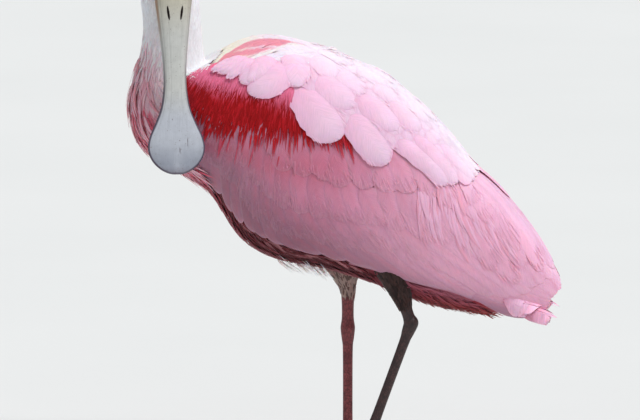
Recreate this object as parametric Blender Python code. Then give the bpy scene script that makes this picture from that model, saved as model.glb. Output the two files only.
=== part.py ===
"""A roseate spoonbill standing in its wading pose, life size.

Units are metres, +Z is up, and the bird faces -X with its left side towards -Y.
The origin is on the floor, at the middle of the flat under the right foot.
Tables are in millimetres and are turned into metres where they are read.
"""

import math
import random
from collections import namedtuple

import bmesh
import bpy
import numpy as np
from mathutils import Vector

MM = 0.001
GAP = 0.3 * MM  # clearance between neighbouring pieces
MID_Y = -24 * MM  # plane of symmetry of the trunk, half a stance from the right foot
LEFT, RIGHT = -1, 1
BOXY = 0.82  # power on the sine and cosine of a trunk section, 1 is an ellipse
SEED = 7

# Plumage outline of neck, trunk and folded wings, neck first.
# back x, back z, front x, front z, half width
OUTLINE_MM = np.array([
    (-137, 450, -183, 454, 20),
    (-132, 423, -184, 425, 22),
    (-130, 401, -182, 401, 24),
    (-128, 380, -184, 376, 27),
    (-125, 367, -191, 348, 33),
    (-112, 378, -193, 323, 43),
    (-92, 387, -184, 296, 52),
    (-65, 390, -158, 275, 59),
    (-34, 383, -126, 254, 63),
    (-3, 372, -96, 211, 65),
    (33, 356, -65, 192, 65),
    (60, 334, -25, 184, 63),
    (86, 309, 15, 175, 59),
    (111, 279, 55, 162, 53),
    (135, 257, 91, 151, 46),
    (155, 234, 122, 141, 39),
    (171, 212, 146, 136, 33),
    (183, 192, 166, 136, 27),
    (194, 172, 184, 141, 20),
], float)

# The trunk under the wings leaves the outline here and slopes to the tail.
TRUNK_FROM = 10
TRUNK_END_MM = np.array([
    (33, 353, -65, 192, 61),
    (57, 322, -25, 184, 57),
    (80, 287, 12, 173, 49),
    (98, 252, 50, 160, 39),
    (112, 222, 82, 150, 29),
    (122, 199, 104, 146, 20),
], float)

NECK_CUT = 2.5  # station where the upper and the lower neck meet
BREAST_CUT = 5.9  # station where the lower neck meets the torso
TRUNK_END = 15.0
CUT_HALF = 0.008  # half the gap between two pieces of trunk, in stations

# Upper neck above the outline's stations, as it rises behind the head and curls over it.
# centre x, centre y from the middle plane, centre z, half size across x, half size along y
NECK_MM = np.array([
    (-158.5, 4, 445, 24.0, 20.0),
    (-157.5, 7, 465, 21.5, 18.0),
    (-156, 7, 484, 19.0, 16.5),
    (-155, 0, 500, 17.5, 15.5),
    (-154.5, -11, 507, 16.5, 15.0),
    (-154.5, -22, 504, 14.0, 13.0),
], float)

BILL_BASE = Vector((-154.5 * MM, MID_Y - 42 * MM, 449 * MM))
BILL_TILT = math.radians(12)  # towards -Y from straight down
BILL_ROLL = math.radians(10)  # turns the top of the bill towards +X
BILL_DRIFT = 0.023  # sideways lean towards the tail
BILL_LENGTH = 176 * MM
SPOON_AT, SPOON_HALF = 151 * MM, 25.2 * MM
# distance from the base, half width, height of the upper bill, depth of the lower bill
BILL_MM = np.array([
    (0, 18.2, 12.5, 9.5),
    (19, 16.8, 10.6, 8.4),
    (44, 14.0, 8.2, 6.6),
    (73, 11.0, 6.2, 5.0),
    (94, 10.2, 5.0, 4.0),
    (109, 11.5, 4.4, 3.4),
    (120, 13.9, 4.0, 3.1),
    (131, 18.3, 3.8, 2.9),
    (142, 23.2, 3.6, 2.7),
    (151, 25.2, 3.5, 2.6),
    (159, 24.2, 3.4, 2.5),
    (166, 20.4, 3.2, 2.3),
    (171.5, 14.6, 3.0, 2.1),
    (174.8, 8.4, 2.6, 1.8),
    (176, 3.6, 2.1, 1.4),
], float)
MOUTH_GAP = 0.45 * MM
LOWER_INSET = 0.5 * MM
NOSTRIL_AT, NOSTRIL_LENGTH, NOSTRIL_HALF = 34.5 * MM, 12.4 * MM, 1.1 * MM
NOSTRIL_SIDE, NOSTRIL_DEPTH = 5.9 * MM, 3.0 * MM
NOSTRIL_SLANT = math.radians(8)
# Halves of a section of the bill: share of its half width, share of its height
UPPER_PROFILE = ((-1, 0), (-0.97, 0.3), (-0.84, 0.62), (-0.55, 0.88), (-0.2, 1.0),
                 (0.2, 1.0), (0.55, 0.88), (0.84, 0.62), (0.97, 0.3), (1, 0))
LOWER_PROFILE = ((-1, 0), (-0.93, -0.5), (-0.65, -0.9), (-0.25, -1),
                 (0.25, -1), (0.65, -0.9), (0.93, -0.5), (1, 0))
LOWER_SHORTER = 1.2 * MM  # the lower half ends this much before the upper one
LOWER_LEAST = 1.5 * MM  # its half width at the tip

HEAD_BEND = math.radians(15)  # between the bill and the long axis of the skull
# distance behind the bill base, half width, height, depth
HEAD_MM = np.array([
    (0, 18.4, 12.9, 9.9),
    (7, 18.8, 16.0, 13.0),
    (17, 19.8, 19.2, 16.0),
    (30, 20.6, 20.8, 17.5),
    (42, 19.8, 20.2, 17.0),
    (52, 16.6, 16.8, 14.5),
    (59, 11.4, 11.4, 10.0),
    (62.5, 5.0, 5.0, 4.5),
], float)
EYE_RADIUS = 5.2 * MM
EYE_BACK, EYE_UP, EYE_SIDE = 15 * MM, 5.0 * MM, 15.8 * MM
LID_HALF = 1.1 * MM  # thickness of the lid's rim, halved
LID_OUT = 0.55  # how far out the lid sits, in radii of the eye

# Rings of the lofts, from end to end
NECK_STEPS, CHEST_STEPS, TORSO_STEPS, TAIL_STEPS, ARM_STEPS, ROOM_STEPS = 7, 7, 20, 6, 8, 24
TAIL_SIDES = 16

# The arm of a folded wing is a slab that reaches half way to the feather tips.
WING_FRONT, WING_HALF, WING_TIP = 6.15, 11.7, 18.0
WING_TOP, WING_LOW, WING_LOWEST = math.radians(11), math.radians(126), math.radians(143)
ARM_SHALLOW, ARM_DEEP = 2.2 * MM, 6.0 * MM  # depth of the arm at the shoulder and behind it
ARM_THICK, ARM_EDGE = 6.0 * MM, 1.8 * MM
SEAT_SPARE = 1.8 * MM  # air between the wing and the trunk
SADDLE = 5.0 * MM  # the back lies this deep under the shoulder feathers
ROOM_OVER = 1.5 * MM  # the room for a wing stands this far over the outline
FEATHER_HIGHEST, FEATHER_LOWEST = math.radians(1.5), math.radians(150)

# A tier of feathers. Pairs run from the first feather, low and in front, to the last, high and behind.
# Roots are (station, degrees down from the back); sizes in millimetres; lean is in degrees down from
# the line towards the tip; middle and tip are depths under the outline.
Tier = namedtuple("Tier", "count first last length half lean middle tip")
WING_TIERS = (
    Tier(4, (10.8, 110), (11.1, 80), (176, 190), (10, 10), (-5, -3), (5.8, 5.0), (4.6, 3.6)),
    Tier(7, (7.5, 126), (11.0, 70), (60, 134), (15, 10), (50, 9), (5.3, 4.8), (4.3, 3.6)),
    Tier(3, (10.4, 56), (10.1, 22), (150, 172), (12, 13), (9, 4), (3.8, 2.8), (2.4, 1.4)),
    Tier(6, (6.45, 116), (10.4, 58), (50, 80), (18, 12.5), (56, 14), (4.2, 4.4), (2.2, 2.4)),
    Tier(5, (6.35, 88), (9.3, 42), (42, 60), (17, 13), (54, 15), (2.7, 3.4), (0.9, 1.2)),
    Tier(4, (6.3, 60), (8.2, 32), (34, 46), (17, 13), (48, 15), (1.4, 2.2), (0.1, 0.3)),
    Tier(3, (8.6, 38), (8.4, 13), (84, 92), (12, 13.5), (10, 3), (2.2, 1.4), (0.3, -0.2)),
    Tier(3, (6.7, 36), (6.5, 13), (84, 88), (12, 13.5), (12, 4), (1.0, 0.4), (-0.6, -1.0)),
)
LAP = 0.85 * MM  # how far the lower edge of a vane stands over its middle
SUNK = 1.7 * MM  # roots lie this deep in what they grow from
VANE_THICK = 0.7 * MM
RACHIS = 0.3 * MM  # how far the middle of a vane stands over its edges
LONG_VANE = 120 * MM
LONG_SHAPE = ((0, 0.45), (0.3, 0.92), (0.7, 1.0), (0.91, 0.72), (1, 0.2))
SHORT_SHAPE = ((0, 0.5), (0.45, 0.97), (0.82, 0.86), (1, 0.28))
COVERT_SHAPE = ((0, 0.6), (0.65, 1.0), (1, 0.3))
LENGTH_VARIES, LEAN_VARIES = 0.04, 1.5

# Tail: centre x, centre z, half thickness, half width
TAIL_MM = np.array([
    (113.5, 171.5, 26.0, 19.5),
    (127, 162, 18.5, 20.5),
    (141, 154, 10.5, 21.5),
    (157, 147, 5.0, 23.5),
    (171, 141, 2.8, 25.5),
    (179, 138, 1.5, 24.0),
], float)

TAIL_ROW_MM = 15.5  # distance from row to row
TAIL_CORE = 2.1  # row where the fleshy root of the tail ends, inside its feathers
TAIL_SEAT = 2.4 * MM  # depth of that root under its coverts
# Tail feathers: count, row of the roots, spacing at the roots, spread in degrees, length, half width
RECTRICES = (8, 1.55, 3.2, 3.3, 46, 6.6)
RECTRIX_DROP = 1.1 * MM  # each lies this much under the one nearer the middle
# Coverts round the root of the tail: count, row, length, half width
TAIL_COVERTS = (8, 0.4, 41, 10)

# A lock of the breast or mantle: half width, and rise over the outline at its four stations
Lock = namedtuple("Lock", "half rise")
PLUME = Lock(6.2, (-2.2, 2.0, 4.2, 7.0))
MANTLE = Lock(8.5, (-2.2, 4.1, 3.7, 3.0))
# Rows of locks: station, length in millimetres, degrees from the back, kind
LOCK_ROWS = (
    (3.4, 36, (112, 140, 168), PLUME),
    (4.15, 42, (96, 126, 154, 178), PLUME),
    (4.9, 44, (110, 138, 166), PLUME),
    (5.3, 38, (18, 40, 62, 84), MANTLE),
)
LOCK_WIDTHS, LOCK_THICK, LOCK_THIN = (0.8, 1.0, 0.75, 0.16), 2.2, 0.7

# Thighs: centre x, centre z, half size along x, half size along y
RIGHT_THIGH_MM = np.array([
    (-6, 214, 22, 19),
    (-4, 196, 21, 18),
    (-2, 180, 18, 16),
    (-1.5, 170, 11.5, 11),
    (-0.5, 163, 7.8, 7.6),
    (0, 159, 6.9, 6.8),
], float)
LEFT_THIGH_MM = np.array([
    (34, 212, 21, 18),
    (38, 194, 18.5, 16),
    (43, 177, 14, 12.5),
    (46.5, 165, 10, 9.5),
    (49, 156.5, 7.8, 7.6),
], float)
RIGHT_Y, LEFT_Y = 0.0, 2 * MID_Y
RIGHT_ANKLE = Vector((0, RIGHT_Y, 124 * MM))
LEFT_ANKLE = Vector((56 * MM, LEFT_Y, 136 * MM))
RIGHT_BALL = Vector((0, RIGHT_Y, 8.4 * MM))  # joint that the toes spring from
LEFT_BALL = Vector((16.7 * MM, LEFT_Y, 28 * MM))
SHANK_HALF, SHANK_THIN = 5.9 * MM, 5.2 * MM
ANKLE_HALF = 6.6 * MM
TARSUS_HALF, TARSUS_THIN = 4.6 * MM, 3.8 * MM
SOLE_SINK = 0.5 * MM  # how much of each toe the floor flattens
CLAW_MM = 8
# Share of the claw's length, half thickness, drop
CLAW_SHAPE = ((0.4, 1.6, 0.45), (1.0, 0.45, 1.05))
# Hind toe: distance behind the joint, height, half thickness
HIND_FLAT = ((0, 5.6, 4.0), (8, 4.4, 3.2), (15, 3.0, 3.0), (22, 2.2, 2.5), (26, 1.9, 1.4), (30, 0.9, 0.45))
HIND_RAISED = ((0, 28, 3.8), (4, 21, 3.2), (7.5, 14, 3.0), (10, 8.5, 2.5), (12, 4.4, 1.5), (14, 1.2, 0.5))
# Share of the length, and share of the usual thickness, along the shin and along the tarsus
SHANK_SHAPE = ((0, 1.0), (0.35, 0.93), (0.7, 0.92), (1, 1.06))
TARSUS_SHAPE = ((0.07, 1.25), (0.14, 1.02), (0.4, 0.96), (0.75, 0.98), (0.9, 1.12), (1, 1.25))
ANKLE_CUT = 1.1 * ANKLE_HALF  # the shin ends this far above the middle of the ankle
FOOT_CUT = 4.5 * MM  # the tarsus ends this far above the toe joint
# length and direction of each front toe, degrees towards +Y
RIGHT_TOES = ((62, 0), (50, -31), (54, 30))
LEFT_TOES = ((62, 2), (50, 33), (54, -28))
BALL_MM = ((0, 6.0), (3.5, 6.1), (7.0, 4.9), (9.6, 2.6))  # depth under the toe joint, half width
FLOOR_SIZE = Vector((240, 240, 40)) * MM  # block that cuts the soles flat
TOE_WEB_RUNGS = 5
TOE_COUNT = 6
WEB_HALF = 0.7 * MM
# Along a toe: share of its length, half thickness; knuckles are the wider stations.
TOE_SHAPE = ((0.0, 4.4), (0.12, 4.0), (0.3, 3.3), (0.41, 3.8), (0.53, 3.1),
             (0.69, 3.4), (0.82, 2.7), (1.0, 2.4))
# Height over the floor against distance run along a toe, for a flat foot and a raised one.
FLAT_RUN = ((0, 5.6), (7, 4.6), (13, 3.5), (18, 2.9))
RAISED_RUN = ((0, 28), (10, 21.5), (20, 13), (29, 6.5), (37, 2.9))

COLOURS = {
    "plumage_pink": ((0.93, 0.55, 0.66), 0.75),
    "plumage_white": ((0.93, 0.86, 0.86), 0.8),
    "wing_pink": ((0.95, 0.62, 0.74), 0.7),
    "tail_buff": ((0.93, 0.55, 0.38), 0.75),
    "bare_skin": ((0.72, 0.71, 0.52), 0.5),
    "bill_horn": ((0.68, 0.68, 0.6), 0.4),
    "eye_red": ((0.55, 0.03, 0.03), 0.1),
    "leg_red": ((0.42, 0.12, 0.14), 0.45),
    "leg_dark": ((0.12, 0.06, 0.055), 0.5),
    "thigh_rose": ((0.55, 0.2, 0.24), 0.8),
}


def clear_scene():
    for obj in list(bpy.data.objects):
        bpy.data.objects.remove(obj, do_unlink=True)


def make_collection(name):
    found = bpy.data.collections.new(name)
    bpy.context.scene.collection.children.link(found)
    return found


def make_materials():
    made = {}
    for name, (colour, roughness) in COLOURS.items():
        material = bpy.data.materials.new(name)
        material.use_nodes = True
        shader = material.node_tree.nodes["Principled BSDF"]
        shader.inputs["Base Color"].default_value = (*colour, 1)
        shader.inputs["Roughness"].default_value = roughness
        shader.inputs["Metallic"].default_value = 0
        made[name] = material
    return made


def add_mesh(name, points, faces, collection, material=None):
    mesh = bpy.data.meshes.new(name)
    mesh.from_pydata([tuple(p) for p in points], [], [tuple(f) for f in faces])
    shape = bmesh.new()
    shape.from_mesh(mesh)
    bmesh.ops.recalc_face_normals(shape, faces=shape.faces)
    shape.to_mesh(mesh)
    shape.free()
    obj = bpy.data.objects.new(name, mesh)
    collection.objects.link(obj)
    if material:
        mesh.materials.append(material)
    return obj


def loft(name, rings, collection, material=None, slab=False):
    """A closed solid through rings of equal count.

    The rings of a slab run out along one face and back along the other.
    """
    count = len(rings[0])
    points = [p for ring in rings for p in ring]
    last = len(points) - count
    if slab:
        pairs = [(j, j + 1, count - 2 - j, count - 1 - j) for j in range(count // 2 - 1)]
        faces = [tuple(first + j for j in pair) for first in (0, last) for pair in pairs]
    else:
        faces = [tuple(range(count)), tuple(range(last, last + count))]
    for k in range(len(rings) - 1):
        for j in range(count):
            here, there = k * count + j, k * count + (j + 1) % count
            if slab and j < count // 2:
                faces += [(here, there, there + count), (here, there + count, here + count)]
            elif slab:
                faces += [(here, there, here + count), (there, there + count, here + count)]
            else:
                faces.append((here, there, there + count, here + count))
    return add_mesh(name, points, faces, collection, material)


def spline(rows, s):
    """Catmull-Rom through the rows of a table, at the row number s, straight past its ends."""
    last = len(rows) - 1
    i = min(max(int(math.floor(s)), 0), last - 1)
    t = s - i
    if t < 0 or t > 1:
        return rows[i] + (rows[i + 1] - rows[i]) * t
    before = rows[i - 1] if i > 0 else 2 * rows[i] - rows[i + 1]
    after = rows[i + 2] if i + 2 <= last else 2 * rows[i + 1] - rows[i]
    a, b = rows[i], rows[i + 1]
    return 0.5 * (
        2 * a + (b - before) * t
        + (2 * before - 5 * a + 4 * b - after) * t ** 2
        + (3 * a - before - 3 * b + after) * t ** 3
    )


def smooth_step(low, high, x):
    t = min(1.0, max(0.0, (x - low) / (high - low)))
    return t * t * (3 - 2 * t)


def signed_power(x, power):
    return math.copysign(abs(x) ** power, x)


def section_point(row, phi, side):
    """A point of a trunk section. phi runs from the back (0) to the belly (pi)."""
    back = Vector((row[0], 0, row[1])) * MM
    front = Vector((row[2], 0, row[3])) * MM
    middle, half = (back + front) / 2, (back - front) / 2
    point = middle + half * signed_power(math.cos(phi), BOXY)
    point.y = MID_Y + side * row[4] * MM * signed_power(math.sin(phi), BOXY)
    return point


def outline_point(s, phi, side, height=0.0):
    """A point on the plumage outline, or this far above it."""
    point = section_point(spline(OUTLINE_MM, s), phi, side)
    if height == 0:
        return point
    return point + outline_normal(s, phi, side) * height


def outline_slopes(s, phi, side):
    step = 0.01
    along = outline_point(s + step, phi, side) - outline_point(s - step, phi, side)
    down = outline_point(s, phi + step, side) - outline_point(s, phi - step, side)
    return along / (2 * step), down / (2 * step)


def outline_normal(s, phi, side):
    along, down = outline_slopes(s, phi, side)
    normal = along.cross(down) * side
    return normal.normalized()


def arm_depth(s):
    """Depth of the arm's outer face under the outline."""
    return ARM_SHALLOW + (ARM_DEEP - ARM_SHALLOW) * smooth_step(WING_FRONT, 7.6, s)


def arm_thickness(s):
    """Thickness of the arm, thin at the shoulder and towards its end."""
    rear = 1 - 0.5 * smooth_step(9, WING_HALF, s)
    front = 0.4 + 0.6 * smooth_step(WING_FRONT, WING_FRONT + 1.2, s)
    return max(ARM_THICK * rear * front, ARM_EDGE)


def seat_depth(s, phi):
    """How deep the trunk lies under the outline, to leave room for the folded wing."""
    front = smooth_step(BREAST_CUT, WING_FRONT + 0.15, s)
    rear = 1 - smooth_step(10.5, 13, s)
    upper = smooth_step(math.radians(2), math.radians(14), phi)
    lower = 1 - smooth_step(math.radians(152), math.radians(164), phi)
    seat = (ARM_DEEP + ARM_THICK + SEAT_SPARE) * front * rear * upper * lower
    saddle = SADDLE * smooth_step(BREAST_CUT, 7.4, s) * rear * (1 - upper)
    return seat + saddle * (phi < math.radians(90))


def trunk_row(s):
    if s <= TRUNK_FROM:
        return spline(OUTLINE_MM, s)
    front = OUTLINE_MM[:TRUNK_FROM]
    return spline(np.vstack([front, TRUNK_END_MM]), s)


def trunk_ring(s, grow=0.0, half_count=12):
    ring = []
    for side in (RIGHT, LEFT):
        for k in range(half_count):
            share = k / half_count
            phi = math.pi * share if side == RIGHT else math.pi * (1 - share)
            point = section_point(trunk_row(s), phi, side)
            depth = seat_depth(s, phi)
            if depth or grow:
                point += outline_normal(min(s, 17), phi, side) * (grow - depth)
            ring.append(point)
    return ring


def oval_ring(middle, axis_a, axis_b, half_a, half_b, count=16, power=1.0):
    ring = []
    for k in range(count):
        turn = 2 * math.pi * k / count
        across = signed_power(math.cos(turn), power)
        along = signed_power(math.sin(turn), power)
        ring.append(middle + axis_a * (half_a * across) + axis_b * (half_b * along))
    return ring


def sweep_rings(stations, count, lead, ends=None):
    """Rings square to the path through stations of (centre, half size along lead, other half)."""
    rings = []
    for i, (centre, half_a, half_b) in enumerate(stations):
        before = stations[max(i - 1, 0)][0]
        after = stations[min(i + 1, len(stations) - 1)][0]
        tangent = (after - before).normalized()
        if ends and i == 0:
            tangent = ends[0]
        if ends and i == len(stations) - 1:
            tangent = ends[1]
        axis_a = (lead - tangent * lead.dot(tangent)).normalized()
        axis_b = tangent.cross(axis_a)
        rings.append(oval_ring(centre, axis_a, axis_b, half_a, half_b, count))
    return rings


def sweep(name, stations, collection, material, count=16, lead=Vector((1, 0, 0)), ends=None):
    return loft(name, sweep_rings(stations, count, lead, ends), collection, material)


def boolean(obj, operation, cutters=None, collection=None, solver="EXACT"):
    """Applies one Boolean to obj, then removes what it was joined to or cut with."""
    modifier = obj.modifiers.new(operation.lower(), "BOOLEAN")
    modifier.operation = operation
    modifier.solver = solver
    if collection:
        modifier.operand_type = "COLLECTION"
        modifier.collection = collection
        used = list(collection.objects)
    else:
        modifier.object = cutters
        used = [cutters]
    graph = bpy.context.evaluated_depsgraph_get()
    mesh = bpy.data.meshes.new_from_object(obj.evaluated_get(graph))
    obj.modifiers.clear()
    obj.data = mesh
    for other in used:
        bpy.data.objects.remove(other, do_unlink=True)
    return obj


def keep_largest(obj):
    """Leaves only the largest closed surface of the object's mesh."""
    shape = bmesh.new()
    shape.from_mesh(obj.data)
    shape.faces.ensure_lookup_table()
    waiting, groups = set(shape.faces), []
    while waiting:
        group, edge_of_group = set(), [waiting.pop()]
        while edge_of_group:
            face = edge_of_group.pop()
            group.add(face)
            for edge in face.edges:
                if len(edge.link_faces) != 2:
                    continue
                for other in edge.link_faces:
                    if other in waiting:
                        waiting.remove(other)
                        edge_of_group.append(other)
        groups.append(group)
    groups.sort(key=lambda group: -sum(face.calc_area() for face in group))
    loose = [face for group in groups[1:] for face in group]
    bmesh.ops.delete(shape, geom=loose, context="FACES")
    bmesh.ops.triangulate(shape, faces=shape.faces)
    shape.to_mesh(obj.data)
    shape.free()
    return obj


def smooth(obj, angle=50):
    obj.data.shade_smooth()
    obj.data.set_sharp_from_angle(angle=math.radians(angle))


def bill_axes():
    down = Vector((BILL_DRIFT, -math.sin(BILL_TILT), -math.cos(BILL_TILT))).normalized()
    top = Vector((0, -math.cos(BILL_TILT), math.sin(BILL_TILT)))
    side = top.cross(down).normalized()
    top = down.cross(side).normalized()
    rolled_top = top * math.cos(BILL_ROLL) + side * math.sin(BILL_ROLL)
    rolled_side = side * math.cos(BILL_ROLL) - top * math.sin(BILL_ROLL)
    return down, rolled_top, rolled_side


def head_axes():
    down, top, side = bill_axes()
    back = -down * math.cos(HEAD_BEND) - top * math.sin(HEAD_BEND)
    crown = top * math.cos(HEAD_BEND) - down * math.sin(HEAD_BEND)
    return back, crown, side


def bill_rows(steps_between):
    last = len(BILL_MM) - 1
    for k in range(last * steps_between + 1):
        distance, half, upper, lower = spline(BILL_MM, k / steps_between) * MM
        yield max(distance, 0.0), half, upper, lower


def upper_bill(cad, materials):
    """The upper half of the bill: domed at the base, flat in the spoon."""
    down, top, side = bill_axes()
    rings = []
    for distance, half, height, _ in bill_rows(1):
        middle = BILL_BASE + down * distance + top * (MOUTH_GAP / 2)
        rings.append([middle + side * (half * a) + top * (height * h) for a, h in UPPER_PROFILE])
    obj = loft("bill_upper", rings, cad, materials["bill_horn"])
    for sign in (LEFT, RIGHT):
        boolean(obj, "DIFFERENCE", nostril_cutter(cad, sign))
    smooth(obj)
    return obj


def nostril_cutter(collection, sign):
    down, top, side = bill_axes()
    height = float(np.interp(NOSTRIL_AT / MM, BILL_MM[:, 0], BILL_MM[:, 2])) * MM
    slanted = (down * math.cos(NOSTRIL_SLANT) - side * (sign * math.sin(NOSTRIL_SLANT))).normalized()
    across = slanted.cross(top).normalized()
    centre = BILL_BASE + down * NOSTRIL_AT + side * (sign * NOSTRIL_SIDE) + top * height
    rings = []
    for level, share in ((-NOSTRIL_DEPTH, 0.6), (NOSTRIL_DEPTH, 1.0)):
        rings.append(oval_ring(centre + top * level, slanted, across,
                               NOSTRIL_LENGTH / 2 * share, NOSTRIL_HALF * share, 10))
    return loft("nostril_cutter", rings, collection)


def lower_bill(cad, materials):
    """The lower half of the bill, a little inside the edge of the upper one."""
    down, top, side = bill_axes()
    rings = []
    for distance, half, _, depth in bill_rows(1):
        shorter = distance * (1 - LOWER_SHORTER / BILL_LENGTH)
        middle = BILL_BASE + down * shorter - top * (MOUTH_GAP / 2)
        half = max(half - LOWER_INSET, LOWER_LEAST)
        rings.append([middle + side * (half * a) + top * (depth * h) for a, h in LOWER_PROFILE])
    obj = loft("bill_lower", rings, cad, materials["bill_horn"])
    smooth(obj)
    return obj


def head_ring(row, grow=0.0, count=20):
    distance, half, up, low = row * MM
    back, crown, side = head_axes()
    down, top, _ = bill_axes()
    turned = smooth_step(0, 12 * MM, distance)
    lift = (crown * turned + top * (1 - turned)).normalized()
    middle = BILL_BASE - down * (GAP * (1 - turned)) + back * distance
    ring = []
    for k in range(count):
        turn = 2 * math.pi * k / count
        height = (up if math.sin(turn) > 0 else low) + grow
        ring.append(middle + side * ((half + grow) * signed_power(math.cos(turn), 0.9))
                    + lift * (height * signed_power(math.sin(turn), 0.9)))
    return ring


def head_solid(name, cad, material, grow=0.0):
    rings = [head_ring(spline(HEAD_MM, k / 2), grow) for k in range(2 * len(HEAD_MM) - 1)]
    if grow:
        back, _, _ = head_axes()
        rings.append([p + back * grow for p in rings[-1]])
    return loft(name, rings, cad, material)


def eye_centre(sign):
    back, crown, side = head_axes()
    return BILL_BASE + back * EYE_BACK + crown * EYE_UP + side * (sign * EYE_SIDE)


def move_to(obj, collection):
    for other in list(obj.users_collection):
        other.objects.unlink(obj)
    collection.objects.link(obj)


def block(name, centre, size, collection):
    bpy.ops.mesh.primitive_cube_add(size=1, location=centre)
    obj = bpy.context.object
    obj.name = name
    for vertex in obj.data.vertices:
        vertex.co = [vertex.co[k] * size[k] for k in range(3)]
    move_to(obj, collection)
    return obj


def ball(name, centre, radius, collection, material=None, segments=16, rings=10):
    bpy.ops.mesh.primitive_uv_sphere_add(
        segments=segments, ring_count=rings, radius=radius, location=centre)
    obj = bpy.context.object
    obj.name = name
    move_to(obj, collection)
    if material:
        obj.data.materials.append(material)
    return obj


def head_and_eyes(cad, pieces, materials):
    """The bare head, with a rim of lid round each eye and a socket that the eye sits in."""
    head = head_solid("head", cad, materials["bare_skin"])
    _, _, side = head_axes()
    for sign in (LEFT, RIGHT):
        centre = eye_centre(sign)
        reach = EYE_RADIUS * LID_OUT
        bpy.ops.mesh.primitive_torus_add(
            major_segments=14, minor_segments=6, major_radius=EYE_RADIUS * 0.98, minor_radius=LID_HALF,
            location=centre + side * (sign * reach), rotation=side.to_track_quat("Z", "Y").to_euler())
        move_to(bpy.context.object, pieces)
    boolean(head, "UNION", collection=pieces)
    for sign, name in ((LEFT, "eye_left"), (RIGHT, "eye_right")):
        smooth(ball(name, eye_centre(sign), EYE_RADIUS, cad, materials["eye_red"]))
        socket = ball("socket", eye_centre(sign), EYE_RADIUS + GAP, cad)
        boolean(head, "DIFFERENCE", socket, solver="MANIFOLD")
    keep_largest(head)
    smooth(head)
    return head


def upper_neck(cad, materials):
    """The neck from the chest up behind the head, hollowed to take the back of the skull."""
    rings = [trunk_ring(s) for s in (NECK_CUT - CUT_HALF, 2.0, 1.5, 1.0)]
    count = len(rings[0])
    stations = []
    for k in range(NECK_STEPS + 1):
        x, y, z, half_x, half_y = spline(NECK_MM, (len(NECK_MM) - 1) * k / NECK_STEPS) * MM
        stations.append((Vector((x, MID_Y + y, z)), half_x, half_y))
    rings += sweep_rings(stations, count, Vector((1, 0, 0)))
    neck = loft("neck_upper", rings, cad, materials["plumage_white"])
    boolean(neck, "DIFFERENCE", head_solid("head_cutter", cad, None, GAP))
    keep_largest(neck)
    smooth(neck)
    return neck


def wing_limits(s):
    """Upper and lower edge of the arm, as angles down from the back."""
    low = WING_LOW + (WING_LOWEST - WING_LOW) * smooth_step(WING_FRONT, 8.5, s)
    low -= math.radians(22) * smooth_step(10, WING_HALF, s)
    top = WING_TOP + math.radians(14) * (1 - smooth_step(WING_FRONT, WING_FRONT + 1.2, s))
    return top, low


def feather_floor(s):
    """How far down the feathers reach, less towards the tip, where the tail shows under them."""
    return FEATHER_LOWEST - math.radians(58) * smooth_step(13.5, WING_TIP, s)


def slab_solid(name, side, stops, edges, outer_depth, inner_depth, collection, material=None, across=6):
    """A slab along the outline: edges and the two depths are functions of the station."""
    rings = []
    for s in stops:
        top, low = edges(s)
        outer, inner = [], []
        for j in range(across + 1):
            share = j / across
            phi = top + (low - top) * share
            outer.append(outline_point(s, phi, side, -outer_depth(s, share)))
            inner.append(outline_point(s, phi, side, -inner_depth(s)))
        rings.append(outer + inner[::-1])
    return loft(name, rings, collection, material, slab=True)


def arm_solid(name, side, collection, material):
    stops = [WING_FRONT + (WING_HALF - WING_FRONT) * k / ARM_STEPS for k in range(ARM_STEPS + 1)]

    def outer(s, share):
        rim = 1 - math.sqrt(math.sin(math.pi * min(max(share, 0), 1)))
        return arm_depth(s) + arm_thickness(s) * 0.45 * rim

    def inner(s):
        return arm_depth(s) + arm_thickness(s)

    return slab_solid(name, side, stops, wing_limits, outer, inner, collection, material)


def wing_room(name, side, collection):
    """The space that a wing and its feathers need, with its gap all round."""
    first, last = WING_FRONT - 0.02, WING_TIP + 0.5
    stops = [first + (last - first) * k / ROOM_STEPS for k in range(ROOM_STEPS + 1)]

    def edges(s):
        return FEATHER_HIGHEST, feather_floor(s) + math.radians(1.5)

    def outer(s, share):
        return -ROOM_OVER

    def inner(s):
        return arm_depth(s) + ARM_THICK + GAP

    return slab_solid(name, side, stops, edges, outer, inner, collection)


def pair_value(pair, share):
    return pair[0] + (pair[1] - pair[0]) * share


def outline_path(s, phi, lean, length, side, steps=8):
    """Stations and angles along a line that leaves (s, phi) at this lean, at equal distances."""
    path = [(s, phi)]
    for _ in range(steps):
        along, down = outline_slopes(s, phi, side)
        s += math.cos(lean) * length / steps / along.length
        phi += math.sin(lean) * length / steps / down.length
        path.append((s, phi))
    return path


def vane(side, s, phi, lean, length, half, depths, collection):
    """One feather lying along the outline from its sunk root. Its lower edge laps over the next one."""
    path = outline_path(s, phi, lean, length, side)
    rings = []
    for t, share in LONG_SHAPE if length > LONG_VANE else SHORT_SHAPE:
        at = t * (len(path) - 1)
        k = min(int(at), len(path) - 2)
        here = [path[k][c] + (path[k + 1][c] - path[k][c]) * (at - k) for c in range(2)]
        along, down = outline_slopes(here[0], here[1], side)
        depth = float(np.interp(t, (0, 0.45, 1), depths))
        thick = vane_thickness(t) / 2
        outer, inner = [], []
        for u in (-1, 0, 1):
            reach = u * half * share
            there_s = here[0] - math.sin(lean) * reach / along.length
            there_phi = here[1] + math.cos(lean) * reach / down.length
            there_phi = min(max(there_phi, FEATHER_HIGHEST), feather_floor(there_s))
            level = u * share * LAP - depth + RACHIS * (1 - abs(u))
            outer.append(outline_point(there_s, there_phi, side, level + thick))
            inner.append(outline_point(there_s, there_phi, side, level - thick))
        rings.append(outer + inner[::-1])
    return loft("vane", rings, collection, slab=True)


def vane_thickness(t):
    return VANE_THICK * (1.0 - 0.35 * smooth_step(0.7, 1.0, t))


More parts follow.
